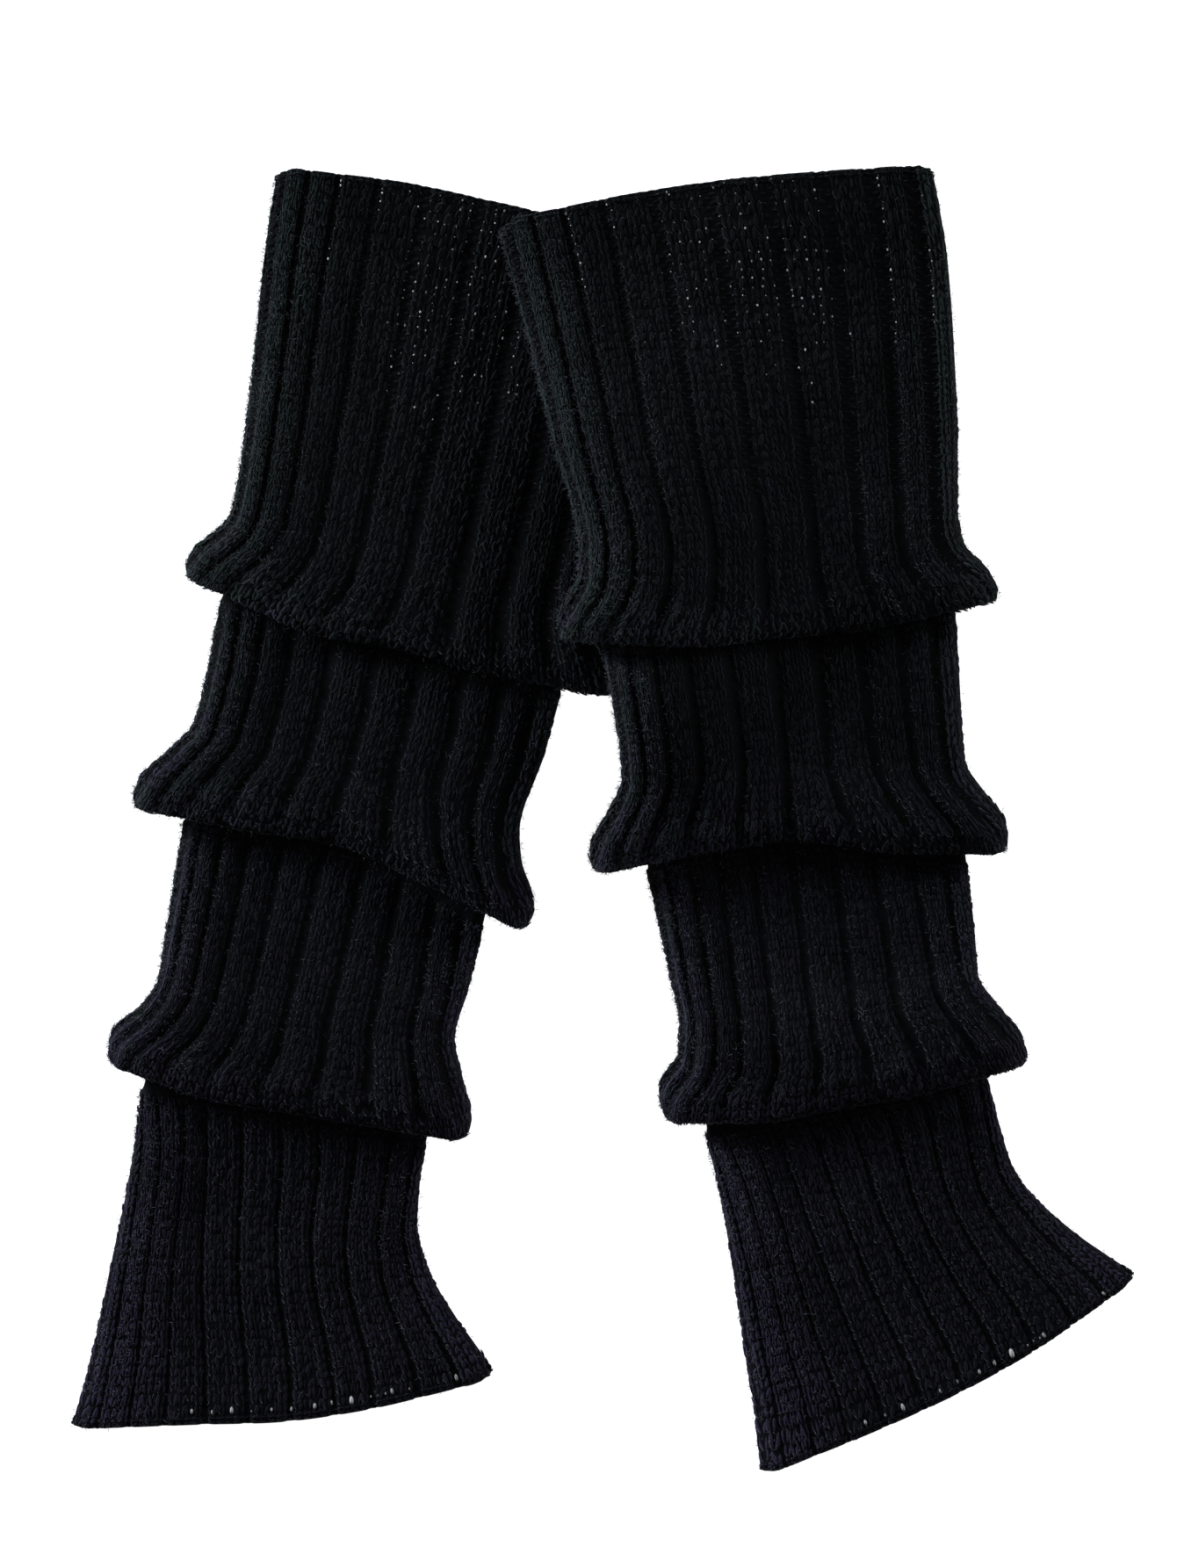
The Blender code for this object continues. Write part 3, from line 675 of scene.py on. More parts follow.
RIGHT_CREASES = (
    Crease((13.5, 83.0), (7.0, 64.0), 1.4, 1.0),
    Crease((26.5, 81.0), (24.5, 66.0), 1.2, 0.8),
    Crease((3.5, 78.0), (-7.0, 65.0), 1.8, 0.7),
    Crease((19.5, 82.0), (16.0, 64.0), 1.8, -0.6),
    Crease((46.0, 76.0), (43.0, 60.0), 2.4, -0.6),
    Crease((78.0, 74.0), (80.0, 58.0), 2.6, -0.6),
    Crease((100.0, 78.0), (106.0, 62.0), 2.2, 0.5),
    Crease((16.5, 8.5), (6.5, -12.0), 1.6, 0.9),
    Crease((24.0, 2.5), (17.5, -10.0), 1.3, 0.8),
    Crease((35.5, 7.5), (34.0, -6.0), 1.2, 0.7),
    Crease((50.0, 3.0), (51.0, -6.0), 1.2, 0.5),
    Crease((62.0, 4.0), (64.0, -8.0), 2.8, -0.6),
    Crease((84.0, 10.0), (92.0, -8.0), 2.4, -0.5),
    Crease((108.0, 8.0), (118.0, -8.0), 2.2, 0.5),
    Crease((36.0, -74.0), (30.0, -94.0), 1.6, 0.9),
    Crease((46.0, -76.0), (42.5, -92.0), 1.3, 0.7),
    Crease((60.0, -74.0), (60.0, -92.0), 2.4, -0.5),
    Crease((92.0, -70.0), (96.0, -88.0), 2.8, -0.6),
    Crease((116.0, -64.0), (124.0, -80.0), 2.2, 0.5),
    Crease((2.0, 190.0), (12.0, 120.0), 6.0, -0.5),
    Crease((66.0, 186.0), (70.0, 112.0), 6.0, -0.6),
    Crease((98.0, 176.0), (100.0, 110.0), 5.0, -0.4),
    Crease((26.0, 44.0), (62.0, 30.0), 5.0, -0.4),
    Crease((44.0, -38.0), (90.0, -30.0), 5.0, -0.4),
    Crease((60.0, -128.0), (110.0, -112.0), 7.0, -0.5),
)
print("ridges and troughs:", len(LEFT_CREASES), "on the left one and", len(RIGHT_CREASES), "on the right one")

# %% How they lift the cloth
UNDER_CREASE = 0.4  # how far the underside rises at a ridge or trough, as a share of its height


def along_side(points, start, end):
    """How far along a straight line the points lie, as a share of it, and how far from it, in the plan."""
    way = end - start
    share = ((points - start) @ way) / (way @ way)
    return share, np.linalg.norm(points - start - np.clip(share, 0, 1)[..., None] * way, axis=-1)


def creased(f, creases, base, out):
    """How far the ridges and troughs lift or lower each point. They fade at both ends."""
    rise = np.zeros(base.shape[:2])
    for crease in creases:
        share, away = along_side(base[..., :2], np.array(crease.start), np.array(crease.end))
        fade = smooth(share / 0.35) * smooth((1 - share) / 0.2)
        rise += crease.high * np.exp(-(away / crease.wide) ** 2) * fade
    rise = rise * np.minimum(1, 3 * f["rise"])[:, None]
    up = np.where(out[..., 2] > 0, smooth(out[..., 2] / 0.4), 0.0)
    under = np.where(out[..., 2] < 0, smooth(-out[..., 2]), 0.0)
    return (rise * up + UNDER_CREASE * np.abs(rise) * under)[..., None] * np.array((0, 0, 1))


# %% [markdown]
# These rules together make one side of the knit: the right side, with its ribs and creases, or the wrong
# side, which is smooth. A place on it is given by the way down it, in millimetres of cloth, and by the way
# round it, in ribs from the first groove.

# %% The tube between its rings
TUBE_FIELDS = RING_FIELDS.split()
NUDGE = 0.002  # a small step round the tube, to find which way the cloth faces
ROLLED_GROOVE = 0.4  # how much of the first groove's width is left beside the rib that rolls round the edge


class Tube:
    """One side of a leg warmer's knit, as a rule from the way down it and the way round it to a point."""

    def __init__(self, lines, lift, creases, inner=False):
        rings = tube_rings(lines, inner)
        self.lift = lift
        self.creases = creases
        self.inner = inner
        self.line = np.array([n for n, made in rings], float)
        self.values = np.array([made for n, made in rings], float)
        self.down = np.arange(len(rings), dtype=float)
        centre = self.grid(self.down, np.array([FRONT_GROOVES / 2 - 0.5]), relief=False)[:, 0]
        steps = np.maximum(np.linalg.norm(np.diff(centre, axis=0), axis=1), 0.05)
        self.down = np.concatenate([[0], np.cumsum(steps)])
        self.length = self.down[-1]

    def fields(self, down):
        found = carried(self.down, self.values, down)
        return {name: found[:, n] for n, name in enumerate(TUBE_FIELDS)}

    def grid(self, down, ribs, relief=True):
        """Points for each place down the tube and each place round it."""
        f = self.fields(down)
        line_at = carried(self.down, self.line[:, None], down)[:, 0]
        turns = groove_turns(f, line_at)
        k = np.clip(np.floor(ribs).astype(int), 0, RIBS - 1)
        part = ribs - k
        turn = turns[:, k] + (turns[:, k + 1] - turns[:, k]) * part
        base, edge_to_edge = pressed(f, turn, self.lift)
        if self.inner or not relief:
            return base
        ahead = np.gradient(base, axis=0)
        around = pressed(f, turn + NUDGE, self.lift)[0] - pressed(f, turn - NUDGE, self.lift)[0]
        out = np.cross(ahead, around)
        out /= np.maximum(np.linalg.norm(out, axis=2, keepdims=True), 1e-9)
        rib_width = (turns[:, k + 1] - turns[:, k]) * edge_to_edge
        rolled = np.where(k == RIBS - 1, ROLLED_GROOVE, 1.0)
        gaps = spread(GROOVE_WIDTHS, line_at, k), spread(GROOVE_WIDTHS, line_at, k + 1) * rolled
        high = f["rise"][:, None] * spread(RIB_HEIGHTS, line_at, ribs)
        return base + rib_relief(f, part, rib_width, gaps, high, out) + creased(f, self.creases, base, out)


def on_table(x, y):
    return 0 * x


left_knit = Tube(LEFT_LINES, on_table, LEFT_CREASES)
print("left leg warmer: unfolded length", round(left_knit.length), "mm")

# %% [markdown]
# The right leg warmer is carried where it lies over the first tier of the left one, and comes down to the
# table beyond the left one's edge. How high it is carried depends on how thick the left one is there.

# %% The right leg warmer, lying over the left one
CLEARANCE = 1.9
FALL = 78.0  # mm over which it comes down beyond the left one's edge
STEEP_ZONE = (46.0, 130.0)  # mm up from the left one's first lip, between which it gets lower
FIRST_LIP = next(n for n, line in enumerate(LEFT_LINES) if line.kind == "lip")


def first_tier_outline():
    """The plan outline of the left leg warmer's first tier."""
    tier = LEFT_LINES[: FIRST_LIP + 1]
    (lx, ly), (rx, ry) = tier[-1].left, tier[-1].right
    width = np.hypot(rx - lx, ry - ly)
    ex, ey = (rx - lx) / width, (ry - ly) / width
    along = np.arange(1, 10) / 10
    dips = np.interp(along, DIP_PLACES, tier[-1].dips)
    steps = [(lx + ex * width * a + ey * d, ly + ey * width * a - ex * d) for a, d in zip(along, dips)]
    return np.array([line.left for line in tier] + steps + [line.right for line in reversed(tier)])


OUTLINE = first_tier_outline()


def over_left(x, y):
    """The height that a leg warmer gets from lying over the left one."""
    points = np.stack([np.ravel(x), np.ravel(y)], axis=1)
    away = np.full(len(points), np.inf)
    crossings = np.zeros(len(points), int)
    for a, b in zip(OUTLINE, np.roll(OUTLINE, -1, axis=0)):
        away = np.minimum(away, along_side(points, a, b)[1])
        spans = (a[1] > points[:, 1]) != (b[1] > points[:, 1])
        across, up = b - a
        reach = a[0] + (points[:, 1] - a[1]) / (up or 1e-9) * across
        crossings += spans & (points[:, 0] < reach)
    away[crossings % 2 == 1] = 0
    lip = LEFT_LINES[FIRST_LIP]
    chord = np.subtract(lip.right, lip.left)
    above = chord[0] * (points[:, 1] - lip.left[1]) - chord[1] * (points[:, 0] - lip.left[0])
    above = above / np.hypot(*chord)
    fade = smooth((above - STEEP_ZONE[0]) / (STEEP_ZONE[1] - STEEP_ZONE[0]))
    low = 2 * FLAT + RIB_RISE + CLEARANCE
    high = 2 * STACK + RIB_RISE + CLEARANCE
    return ((high + (low - high) * fade) * (1 - smooth(away / FALL))).reshape(np.shape(x))


right_knit = Tube(RIGHT_LINES, over_left, RIGHT_CREASES)
print("right leg warmer: unfolded length", round(right_knit.length), "mm")


# %% [markdown]
# The wall is one closed skin: down the right side of the knit from rim to hem, and back up the wrong side.
# Its columns of points follow the ribs, so a groove never cuts across a face. Rows lie close together round
# the lips and far apart where the tube is tucked away.

# %% Places for the skin's points
FRONT_STEPS = (0.0, 0.08, 0.18, 0.30, 0.50, 0.70, 0.82, 0.92)  # across a rib that shows
UNDER_STEPS = (0.0, 0.18, 0.5, 0.82)
FINE_ROW = 2.5  # mm down the right side of the knit where it shows
INNER_ROW = 5.0  # mm down the wrong side
HIDDEN_ROW = 8.0  # mm inside a fold


def rib_columns():
    """Places round the tube: close together over the front and both edges, and few on the underside."""
    found = []
    for rib in range(RIBS):
        shows = rib <= FRONT_GROOVES or rib == RIBS - 1
        found += [rib + step for step in (FRONT_STEPS if shows else UNDER_STEPS)]
    return np.array(found)


def rows_down(tube, fine):
    """Places down the tube: fine apart where it shows, closer round turns, and far apart inside a fold."""
    found = [0.0]
    for n in range(len(tube.down) - 1):
        start, end = tube.down[n], tube.down[n + 1]
        tucked = tube.values[n, TUBE_FIELDS.index("rise")] == 0
        count = max(1, int(np.ceil((end - start) / (HIDDEN_ROW if tucked else fine))))
        found += list(start + (end - start) * np.arange(1, count + 1) / count)
    return np.array(found)


COLUMNS = rib_columns()
print("points round the tube:", len(COLUMNS), "and down its right side:", len(rows_down(left_knit, FINE_ROW)))


# %% Skins
def skin(name, loops, material):
    """A closed skin through loops of points that follow each other round, each closed on itself."""
    rows, columns = loops.shape[:2]
    r, c = np.meshgrid(np.arange(rows), np.arange(columns), indexing="ij")
    down, across = (r + 1) % rows, (c + 1) % columns
    corners = [r * columns + c, down * columns + c, down * columns + across, r * columns + across]
    mesh = bpy.data.meshes.new(name)
    points = loops.reshape(-1, 3).copy()
    points[:, :2] -= PLAN_MIDDLE
    mesh.from_pydata((points * MM).tolist(), [], np.stack(corners, axis=2).reshape(-1, 4).tolist())
    mesh.shade_smooth()
    mesh.materials.append(material)
    bake = mesh.uv_layers.new(name="OFBake")
    shares = np.stack([c / columns, r / rows], axis=2).reshape(-1, 2)
    steps = np.tile(((0, 0), (0, 1), (1, 1), (1, 0)), (rows * columns, 1)) / (columns, rows)
    bake.data.foreach_set("uv", (np.repeat(shares, 4, axis=0) + steps).ravel())
    obj = bpy.data.objects.new(name, mesh)
    bpy.context.scene.collection.objects.link(obj)
    return obj


def leg_warmer(name, lines, lift, knit):
    """The closed wall of a leg warmer, and the points of its right side."""
    inner = Tube(lines, lift, (), inner=True)
    outer_rows = knit.grid(rows_down(knit, FINE_ROW), COLUMNS)
    inner_rows = inner.grid(rows_down(inner, INNER_ROW), COLUMNS)
    loops = np.concatenate([outer_rows, inner_rows[-2:0:-1]])
    return skin(name, loops, shaded_wall_yarn), outer_rows


left_wall, left_outer = leg_warmer("left_leg_warmer_knit", LEFT_LINES, on_table, left_knit)
right_wall, right_outer = leg_warmer("right_leg_warmer_knit", RIGHT_LINES, over_left, right_knit)
for wall in (left_wall, right_wall):
    print(wall.name, "faces:", len(wall.data.polygons))

# %% [markdown]
# Small things that repeat over the knit are placed by Geometry Nodes. Each is made once, as a small mesh,
# and set on a cloud of points. Every point says which way is up the leg, which way is off the cloth, how
# wide, long and high its copy is, and its shade. The tree turns these into rotated and scaled copies, makes
# them real and gives them their yarn.

# %% A recipe that sets copies on points
class Recipe:
    """A Geometry Nodes tree under construction, with named inputs."""

    def __init__(self, name):
        self.tree = bpy.data.node_groups.new(name, "GeometryNodeTree")
        self.tree.is_modifier = True
        self.tree.interface.new_socket("Geometry", in_out="INPUT", socket_type="NodeSocketGeometry")
        self.tree.interface.new_socket("Geometry", in_out="OUTPUT", socket_type="NodeSocketGeometry")
        self.inputs = {}
        self.start = self.tree.nodes.new("NodeGroupInput")
        self.end = self.tree.nodes.new("NodeGroupOutput")

    def input(self, name, kind):
        self.inputs[name] = self.tree.interface.new_socket(name, in_out="INPUT", socket_type=kind).identifier
        return self.start.outputs[name]

    def node(self, kind, settings, sockets, outlet=0):
        made = self.tree.nodes.new(kind)
        for name, value in settings.items():
            setattr(made, name, value)
        for name, value in sockets.items():
            if isinstance(value, bpy.types.NodeSocket):
                self.tree.links.new(value, made.inputs[name])
            else:
                made.inputs[name].default_value = value
        return made.outputs[outlet]

    def attribute(self, name, kind="FLOAT_VECTOR"):
        return self.node("GeometryNodeInputNamedAttribute", {"data_type": kind}, {"Name": name})


def copies_recipe():
    recipe = Recipe("copies_on_knit")
    shape = recipe.input("Shape", "NodeSocketObject")
    finish = recipe.input("Finish", "NodeSocketMaterial")
    loose = recipe.input("Looseness", "NodeSocketFloat")
    seed = recipe.input("Seed", "NodeSocketInt")
    stand = {"primary_axis": "Z", "secondary_axis": "Y"}
    axes = {"Primary Axis": recipe.attribute("off_cloth"), "Secondary Axis": recipe.attribute("up_leg")}
    turned = recipe.node("FunctionNodeAxesToRotation", stand, axes)
    backward = recipe.node("ShaderNodeMath", {"operation": "MULTIPLY"}, {0: loose, 1: -1.0})
    limits = {2: backward, 3: loose, "Seed": seed}
    sway = recipe.node("FunctionNodeRandomValue", {"data_type": "FLOAT"}, limits, 1)
    spin = recipe.node("FunctionNodeAxisAngleToRotation", {}, {"Axis": (0, 0, 1), "Angle": sway})
    swayed = recipe.node("FunctionNodeRotateRotation", {"rotation_space": "LOCAL"}, {0: turned, 1: spin})
    copy = recipe.node("GeometryNodeObjectInfo", {}, {"Object": shape}, "Geometry")
    placed = recipe.node("GeometryNodeInstanceOnPoints", {}, {
        "Points": recipe.start.outputs["Geometry"],
        "Instance": copy,
        "Rotation": swayed,
        "Scale": recipe.attribute("size"),
    })
    real = recipe.node("GeometryNodeRealizeInstances", {}, {"Geometry": placed})
    done = recipe.node("GeometryNodeSetMaterial", {}, {"Geometry": real, "Material": finish})
    recipe.tree.links.new(done, recipe.end.inputs[0])
    return recipe


COPIES = copies_recipe()


def plan_map(mesh):
    """A map named OFBake: each corner at its place as seen from above."""
    places = np.zeros(len(mesh.vertices) * 3)
    mesh.vertices.foreach_get("co", places)
    places = places.reshape(-1, 3)[:, :2]
    low, high = places.min(axis=0), places.max(axis=0)
    corners = np.zeros(len(mesh.loops), int)
    mesh.loops.foreach_get("vertex_index", corners)
    bake = mesh.uv_layers.new(name="OFBake")
    bake.data.foreach_set("uv", ((places[corners] - low) / (high - low)).ravel())


def set_on_knit(name, shape, spots, finish, looseness, seed):
    """One plain mesh of copies of a shape. spots has places and sizes in mm, directions, and shades.

    Each copy is turned on the cloth at random, by up to looseness radians either way.
    """
    cloud = bpy.data.meshes.new(name + "_points")
    cloud.from_pydata(((spots["place"] - (*PLAN_MIDDLE, 0)) * MM).tolist(), [], [])
    for key, scale in (("off_cloth", 1.0), ("up_leg", 1.0), ("size", MM)):
        attribute = cloud.attributes.new(key, "FLOAT_VECTOR", "POINT")
        attribute.data.foreach_set("vector", (spots[key] * scale).ravel())
    shade = cloud.attributes.new("shade", "FLOAT", "POINT")
    shade.data.foreach_set("value", spots["shade"])
    carrier = bpy.data.objects.new(name + "_points", cloud)
    bpy.context.scene.collection.objects.link(carrier)
    modifier = carrier.modifiers.new("copies", "NODES")
    modifier.node_group = COPIES.tree
    for key, value in (("Shape", shape), ("Finish", finish), ("Looseness", looseness), ("Seed", seed)):
        modifier[COPIES.inputs[key]] = value
    graph = bpy.context.evaluated_depsgraph_get()
    mesh = bpy.data.meshes.new_from_object(carrier.evaluated_get(graph), depsgraph=graph)
    mesh.name = name
    bpy.data.objects.remove(carrier, do_unlink=True)
    plan_map(mesh)
    obj = bpy.data.objects.new(name, mesh)
    bpy.context.scene.collection.objects.link(obj)
    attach(obj, "root")
    mesh.calc_loop_triangles()
    print(name, "copies:", len(spots["shade"]), "triangles:", len(mesh.loop_triangles))


# %% [markdown]
# A knit stitch shows as a V. Its two arms are short stretches of one fat strand that lean apart on the way
# up, and the point of the next V sits between them, so a column of stitches looks like a plait. One arm is
# a tapered strand through a few three-sided sections, and its mirror image is the other.

# %% The V of a knit stitch
# Share of the way up the arm, and half its thickness
ARM_SECTIONS = ((0.14, 0.13), (0.48, 0.25), (0.84, 0.17))
ARM_FOOT = np.array((0.07, -0.66))  # in widths and lengths of a stitch
ARM_TOP = np.array((0.36, 0.56))
ARM_BOW = 0.10
STRAND_SIDE = -0.35  # how high both sides of a strand lie, where its crest is at 1


def strand_faces():
    """The faces of a strand: its foot, three sections of left, crest and right, and its top."""
    faces = [(0, 1 + (n + 1) % 3, 1 + n) for n in range(3)]
    for low, high in ((1, 4), (4, 7)):
        faces += [(low + n, low + (n + 1) % 3, high + (n + 1) % 3, high + n) for n in range(3)]
    return faces + [(10, 7 + n, 7 + (n + 1) % 3) for n in range(3)]


def arm(side):
    """Points and faces of one arm. side is 1 for the right one and -1 for its mirror image."""
    way = (ARM_TOP - ARM_FOOT) / np.hypot(*(ARM_TOP - ARM_FOOT))
    across = np.array((way[1], -way[0]))
    points = [(*ARM_FOOT, 0.0)]
    for share, half in ARM_SECTIONS:
        swell = np.sin(np.pi * share)
        middle = ARM_FOOT + (ARM_TOP - ARM_FOOT) * share + across * ARM_BOW * swell
        left, right = middle - across * half, middle + across * half
        points += [(*left, STRAND_SIDE), (*middle, swell ** 0.6), (*right, STRAND_SIDE)]
    points.append((*ARM_TOP, -0.1))
    if side > 0:
        return points, strand_faces()
    return [(-x, y, z) for x, y, z in points], [face[::-1] for face in strand_faces()]


def small_mesh(name, parts):
    """A shape to copy. It is removed once the copies are made."""
    points, faces = [], []
    for part_points, part_faces in parts:
        faces += [tuple(len(points) + n for n in face) for face in part_faces]
        points += part_points
    mesh = bpy.data.meshes.new(name)
    mesh.from_pydata(points, [], faces)
    mesh.shade_smooth()
    obj = bpy.data.objects.new(name, mesh)
    bpy.context.scene.collection.objects.link(obj)
    return obj


stitch = small_mesh("knit_stitch", [arm(1), arm(-1)])

# %% [markdown]
# Stitches stand in courses, one every three millimetres of the tube's way down, and in columns, four to a
# rib. Each takes its place, its slant and its size from the skin under it, so the columns bend with the
# ribs, pack together where the tube is gathered and open where it is stretched.

# %% Places on the knit
COURSE = 3.0  # mm
KNIT_HIGH = 0.35  # mm, the height of a stitch or a bar
BARE_LIP = 3.5  # mm before the fold at which a tier ends for all that is set on it
BEHIND_LIP = 1.0  # mm inside the fold at which the next one starts


class Surface:
    """The skin of a leg warmer, read at any place down and round it."""

    def __init__(self, tube, points):
        self.tube = tube
        self.rows = rows_down(tube, FINE_ROW)
        self.points = np.concatenate([points, points[:, :1]], axis=1)
        self.columns = np.append(COLUMNS, RIBS)

    def at(self, down, ribs):
        ribs = np.mod(ribs, RIBS)
        r = np.clip(np.searchsorted(self.rows, down, side="right") - 1, 0, len(self.rows) - 2)
        c = np.clip(np.searchsorted(self.columns, ribs, side="right") - 1, 0, len(self.columns) - 2)
        t = ((down - self.rows[r]) / (self.rows[r + 1] - self.rows[r]))[:, None]
        u = ((ribs - self.columns[c]) / (self.columns[c + 1] - self.columns[c]))[:, None]
        upper = self.points[r, c] * (1 - u) + self.points[r, c + 1] * u
        lower = self.points[r + 1, c] * (1 - u) + self.points[r + 1, c + 1] * u
        return upper * (1 - t) + lower * t

    def spots(self, down, ribs, reach_down, reach_round, rng, high=KNIT_HIGH):
        """Places with directions. Sizes come from how far the skin goes in that many millimetres and ribs."""
        place = self.at(down, ribs)
        up = self.at(down - reach_down / 2, ribs) - self.at(down + reach_down / 2, ribs)
        across = self.at(down, ribs + reach_round / 2) - self.at(down, ribs - reach_round / 2)
        length, width = np.linalg.norm(up, axis=1), np.linalg.norm(across, axis=1)
        out = np.cross(across, up)
        out /= np.maximum(np.linalg.norm(out, axis=1, keepdims=True), 1e-9)
        return {
            "place": place,
            "up_leg": up / np.maximum(length, 1e-9)[:, None],
            "off_cloth": out,
            "size": np.stack([width, length, np.full(len(down), high)], axis=1),
            "shade": rng.random(len(down)),
        }


def kept(spots, mask):
    return {key: value[mask] for key, value in spots.items()}


def tiers_of(tube):
    """Where each tier starts to show and where its lip turns out of sight, in mm down the tube."""
    tucked = tube.values[:, TUBE_FIELDS.index("rise")] == 0
    found, start = [], 0.0
    for n in range(1, len(tube.down)):
        if tucked[n] and not tucked[n - 1]:
            found.append((start, tube.down[n] - BARE_LIP))
        if tucked[n - 1] and not tucked[n]:
            start = tube.down[n] - BEHIND_LIP
    return found + [(start, tube.length)]


surfaces = {"left": Surface(left_knit, left_outer), "right": Surface(right_knit, right_outer)}
for leg, surface in surfaces.items():
    print(leg, "tiers in mm down the tube:", [[round(v) for v in tier] for tier in tiers_of(surface.tube)])


# %% Knit stitches
TIER_LINES = (3, 10, 17, 24)  # a line in the middle of each tier
HEM_TIER = 3  # the tier that ends without a lip
LIP_STITCH = 0.24  # width of the stitches in a lip's grooves, in ribs
PAINTED_LEFT_LIGHT = (8.0, 8.0, 8.0, 6.0)  # painted light: what a stitch's shade gains where the light from the left falls, for each tier
PAINTED_RIGHT_LIGHT = 4.0  # painted light: what it gains at the right edge
UNEVEN_UP = 0.20  # mm
UNEVEN_ACROSS = 0.14
UNEVEN_TILT = 0.09
UNEVEN_SIZE = (0.09, 0.08, 0.22)
LIP_FLATTER = 0.4  # how much of their height the stitches lose on a lip


def wale_columns(tier):
    """The middles and the widths of a tier's columns of knit stitches, in ribs from the first groove."""
    gaps = spread(GROOVE_WIDTHS, np.array([float(TIER_LINES[tier])]), np.arange(RIBS + 1))[0]
    middles, widths = [], []
    for rib in range(-1, FRONT_GROOVES + 1):
        left, right = gaps[rib % RIBS] / 2, 1 - gaps[rib % RIBS + 1] / 2
        for wale in range(WALES):
            middles.append(rib + left + (right - left) * (wale + 0.5) / WALES)
            widths.append((right - left) / WALES)
    return np.array(middles), np.array(widths)


def shows(spots, down, end=np.inf):
    """Whether spots are on the front, a side edge or the lip that ends at end, and clear of the table."""
    upward = spots["off_cloth"][:, 2] > -0.25
    lip = (down > end - 12) & (spots["off_cloth"][:, 2] > -0.9)
    across = np.cross(spots["up_leg"], spots["off_cloth"])
    wide, long, high = spots["size"].T
    reach = 0.45 * wide * np.abs(across[:, 2]) + 0.6 * long * np.abs(spots["up_leg"][:, 2])
    reach += high * np.maximum(-spots["off_cloth"][:, 2], 0.35)
    return (upward | lip) & (spots["place"][:, 2] - reach > 0.1)


def painted_left_light(down, ribs, tier, end):
    """How much painted light, for the light from the left, a place gets: most on the left edge's rib, on more
    ribs near a lip.
    """
    near_lip = smooth((down - end + 26) / 18) * (tier < HEM_TIER)
    return np.clip(1 - (ribs - 0.6) / (2.0 + 3.6 * near_lip), 0, 1) ** (1.5 - 0.4 * near_lip)


def knit_stitches(surface, tier, start, end, rng):
    """All stitches of a tier that show: on the front, round both side edges and in the lip's grooves."""
    courses = np.arange(start + 2.0, end - 1.0, COURSE)
    columns, widths = wale_columns(tier)
    down, ribs = [grid.ravel() for grid in np.meshgrid(courses, columns, indexing="ij")]
    wide = np.tile(widths, len(courses))
    if tier < HEM_TIER:
        on_lip = np.meshgrid(courses[-5:], np.arange(FRONT_GROOVES), indexing="ij")
        down = np.concatenate([down, on_lip[0].ravel()])
        ribs = np.concatenate([ribs, on_lip[1].ravel()])
        wide = np.concatenate([wide, np.full(on_lip[0].size, LIP_STITCH)])
    spots = surface.spots(down, ribs, COURSE, wide, rng)
    count = len(down)
    # Painted light: stitches along the left edge, near the lips and at the right edge get a paler shade.
    spots["shade"] += PAINTED_LEFT_LIGHT[tier] * painted_left_light(down, ribs, tier, end)
    spots["shade"] += PAINTED_RIGHT_LIGHT * np.clip((ribs - 8.2) / 1.2, 0, 1)
    across = np.cross(spots["up_leg"], spots["off_cloth"])
    spots["place"] += spots["up_leg"] * rng.normal(0, UNEVEN_UP, (count, 1))
    spots["place"] += across * rng.normal(0, UNEVEN_ACROSS, (count, 1))
    spots["off_cloth"] += rng.normal(0, UNEVEN_TILT, (count, 3))
    spots["off_cloth"] /= np.linalg.norm(spots["off_cloth"], axis=1, keepdims=True)
    spots["size"] *= rng.normal(1, UNEVEN_SIZE, (count, 3))
    if tier < HEM_TIER:
        spots["size"][:, 2] *= 1 - LIP_FLATTER * smooth((down - end + 9) / 6)
    return kept(spots, shows(spots, down, end))


rng = np.random.default_rng(11)
for leg, surface in surfaces.items():
    for tier, (start, end) in enumerate(tiers_of(surface.tube)):
        spots = knit_stitches(surface, tier, start, end, rng)
        name = f"{leg}_stitches_tier_{tier + 1}"
        set_on_knit(name, stitch, spots, yarn, looseness=0.16, seed=tier + 1)

# %% [markdown]
# In the stretched top band the grooves open, and the purl stitches in them show as short bars that lie
# across the leg, two to a course. The rims are chains: the cast-on edge at the top and the cast-off edge at
# the hem, whose stitches lie on their sides.

# %% Purl bars in the open grooves, and the chains along the rims
OPEN_TOP = 110.0  # mm down the tube to where the top band's grooves close
BAR_SECTIONS = ((-0.28, 0.8), (0.0, 1.0), (0.28, 0.8))  # place across, and thickness
BAR_SIDE = 0.30  # how far its sides stand from its middle where it is thickest
CHAIN_WIDE = 2.3  # mm
CHAIN_HIGH = 0.7
CAST_ON_PLACE = 2.5  # mm from the rim to the middle of its chain
CAST_OFF_PLACE = 2.6


def purl_bar():
    """A short thick bar that lies across, thinner towards its ends, with a three-sided section."""
    points = [(-0.5, 0.0, -0.2)]
    for x, thick in BAR_SECTIONS:
        side = BAR_SIDE * thick
        points += [(x, -side, STRAND_SIDE), (x, 0.0, thick), (x, side, STRAND_SIDE)]
    points.append((0.5, 0.0, -0.2))
    # Its sections go round the other way than an arm's, so its faces are turned over
    return points, [face[:1] + face[:0:-1] for face in strand_faces()]


def purl_bars(surface, rng):
    """Two bars a course in each groove of the top band that shows."""
    courses = np.arange(2.0, OPEN_TOP - 1.0, COURSE)
    grooves = np.arange(FRONT_GROOVES)
    places = np.meshgrid(courses, grooves, (-0.25, 0.25), indexing="ij")
    down, groove, side = [grid.ravel() for grid in places]
    wide = spread(GROOVE_WIDTHS, np.array([float(TIER_LINES[0])]), grooves)[0][groove]
    spots = surface.spots(down + COURSE * side, groove + wide * side, COURSE, wide * 0.8, rng)
    return kept(spots, shows(spots, down, OPEN_TOP))


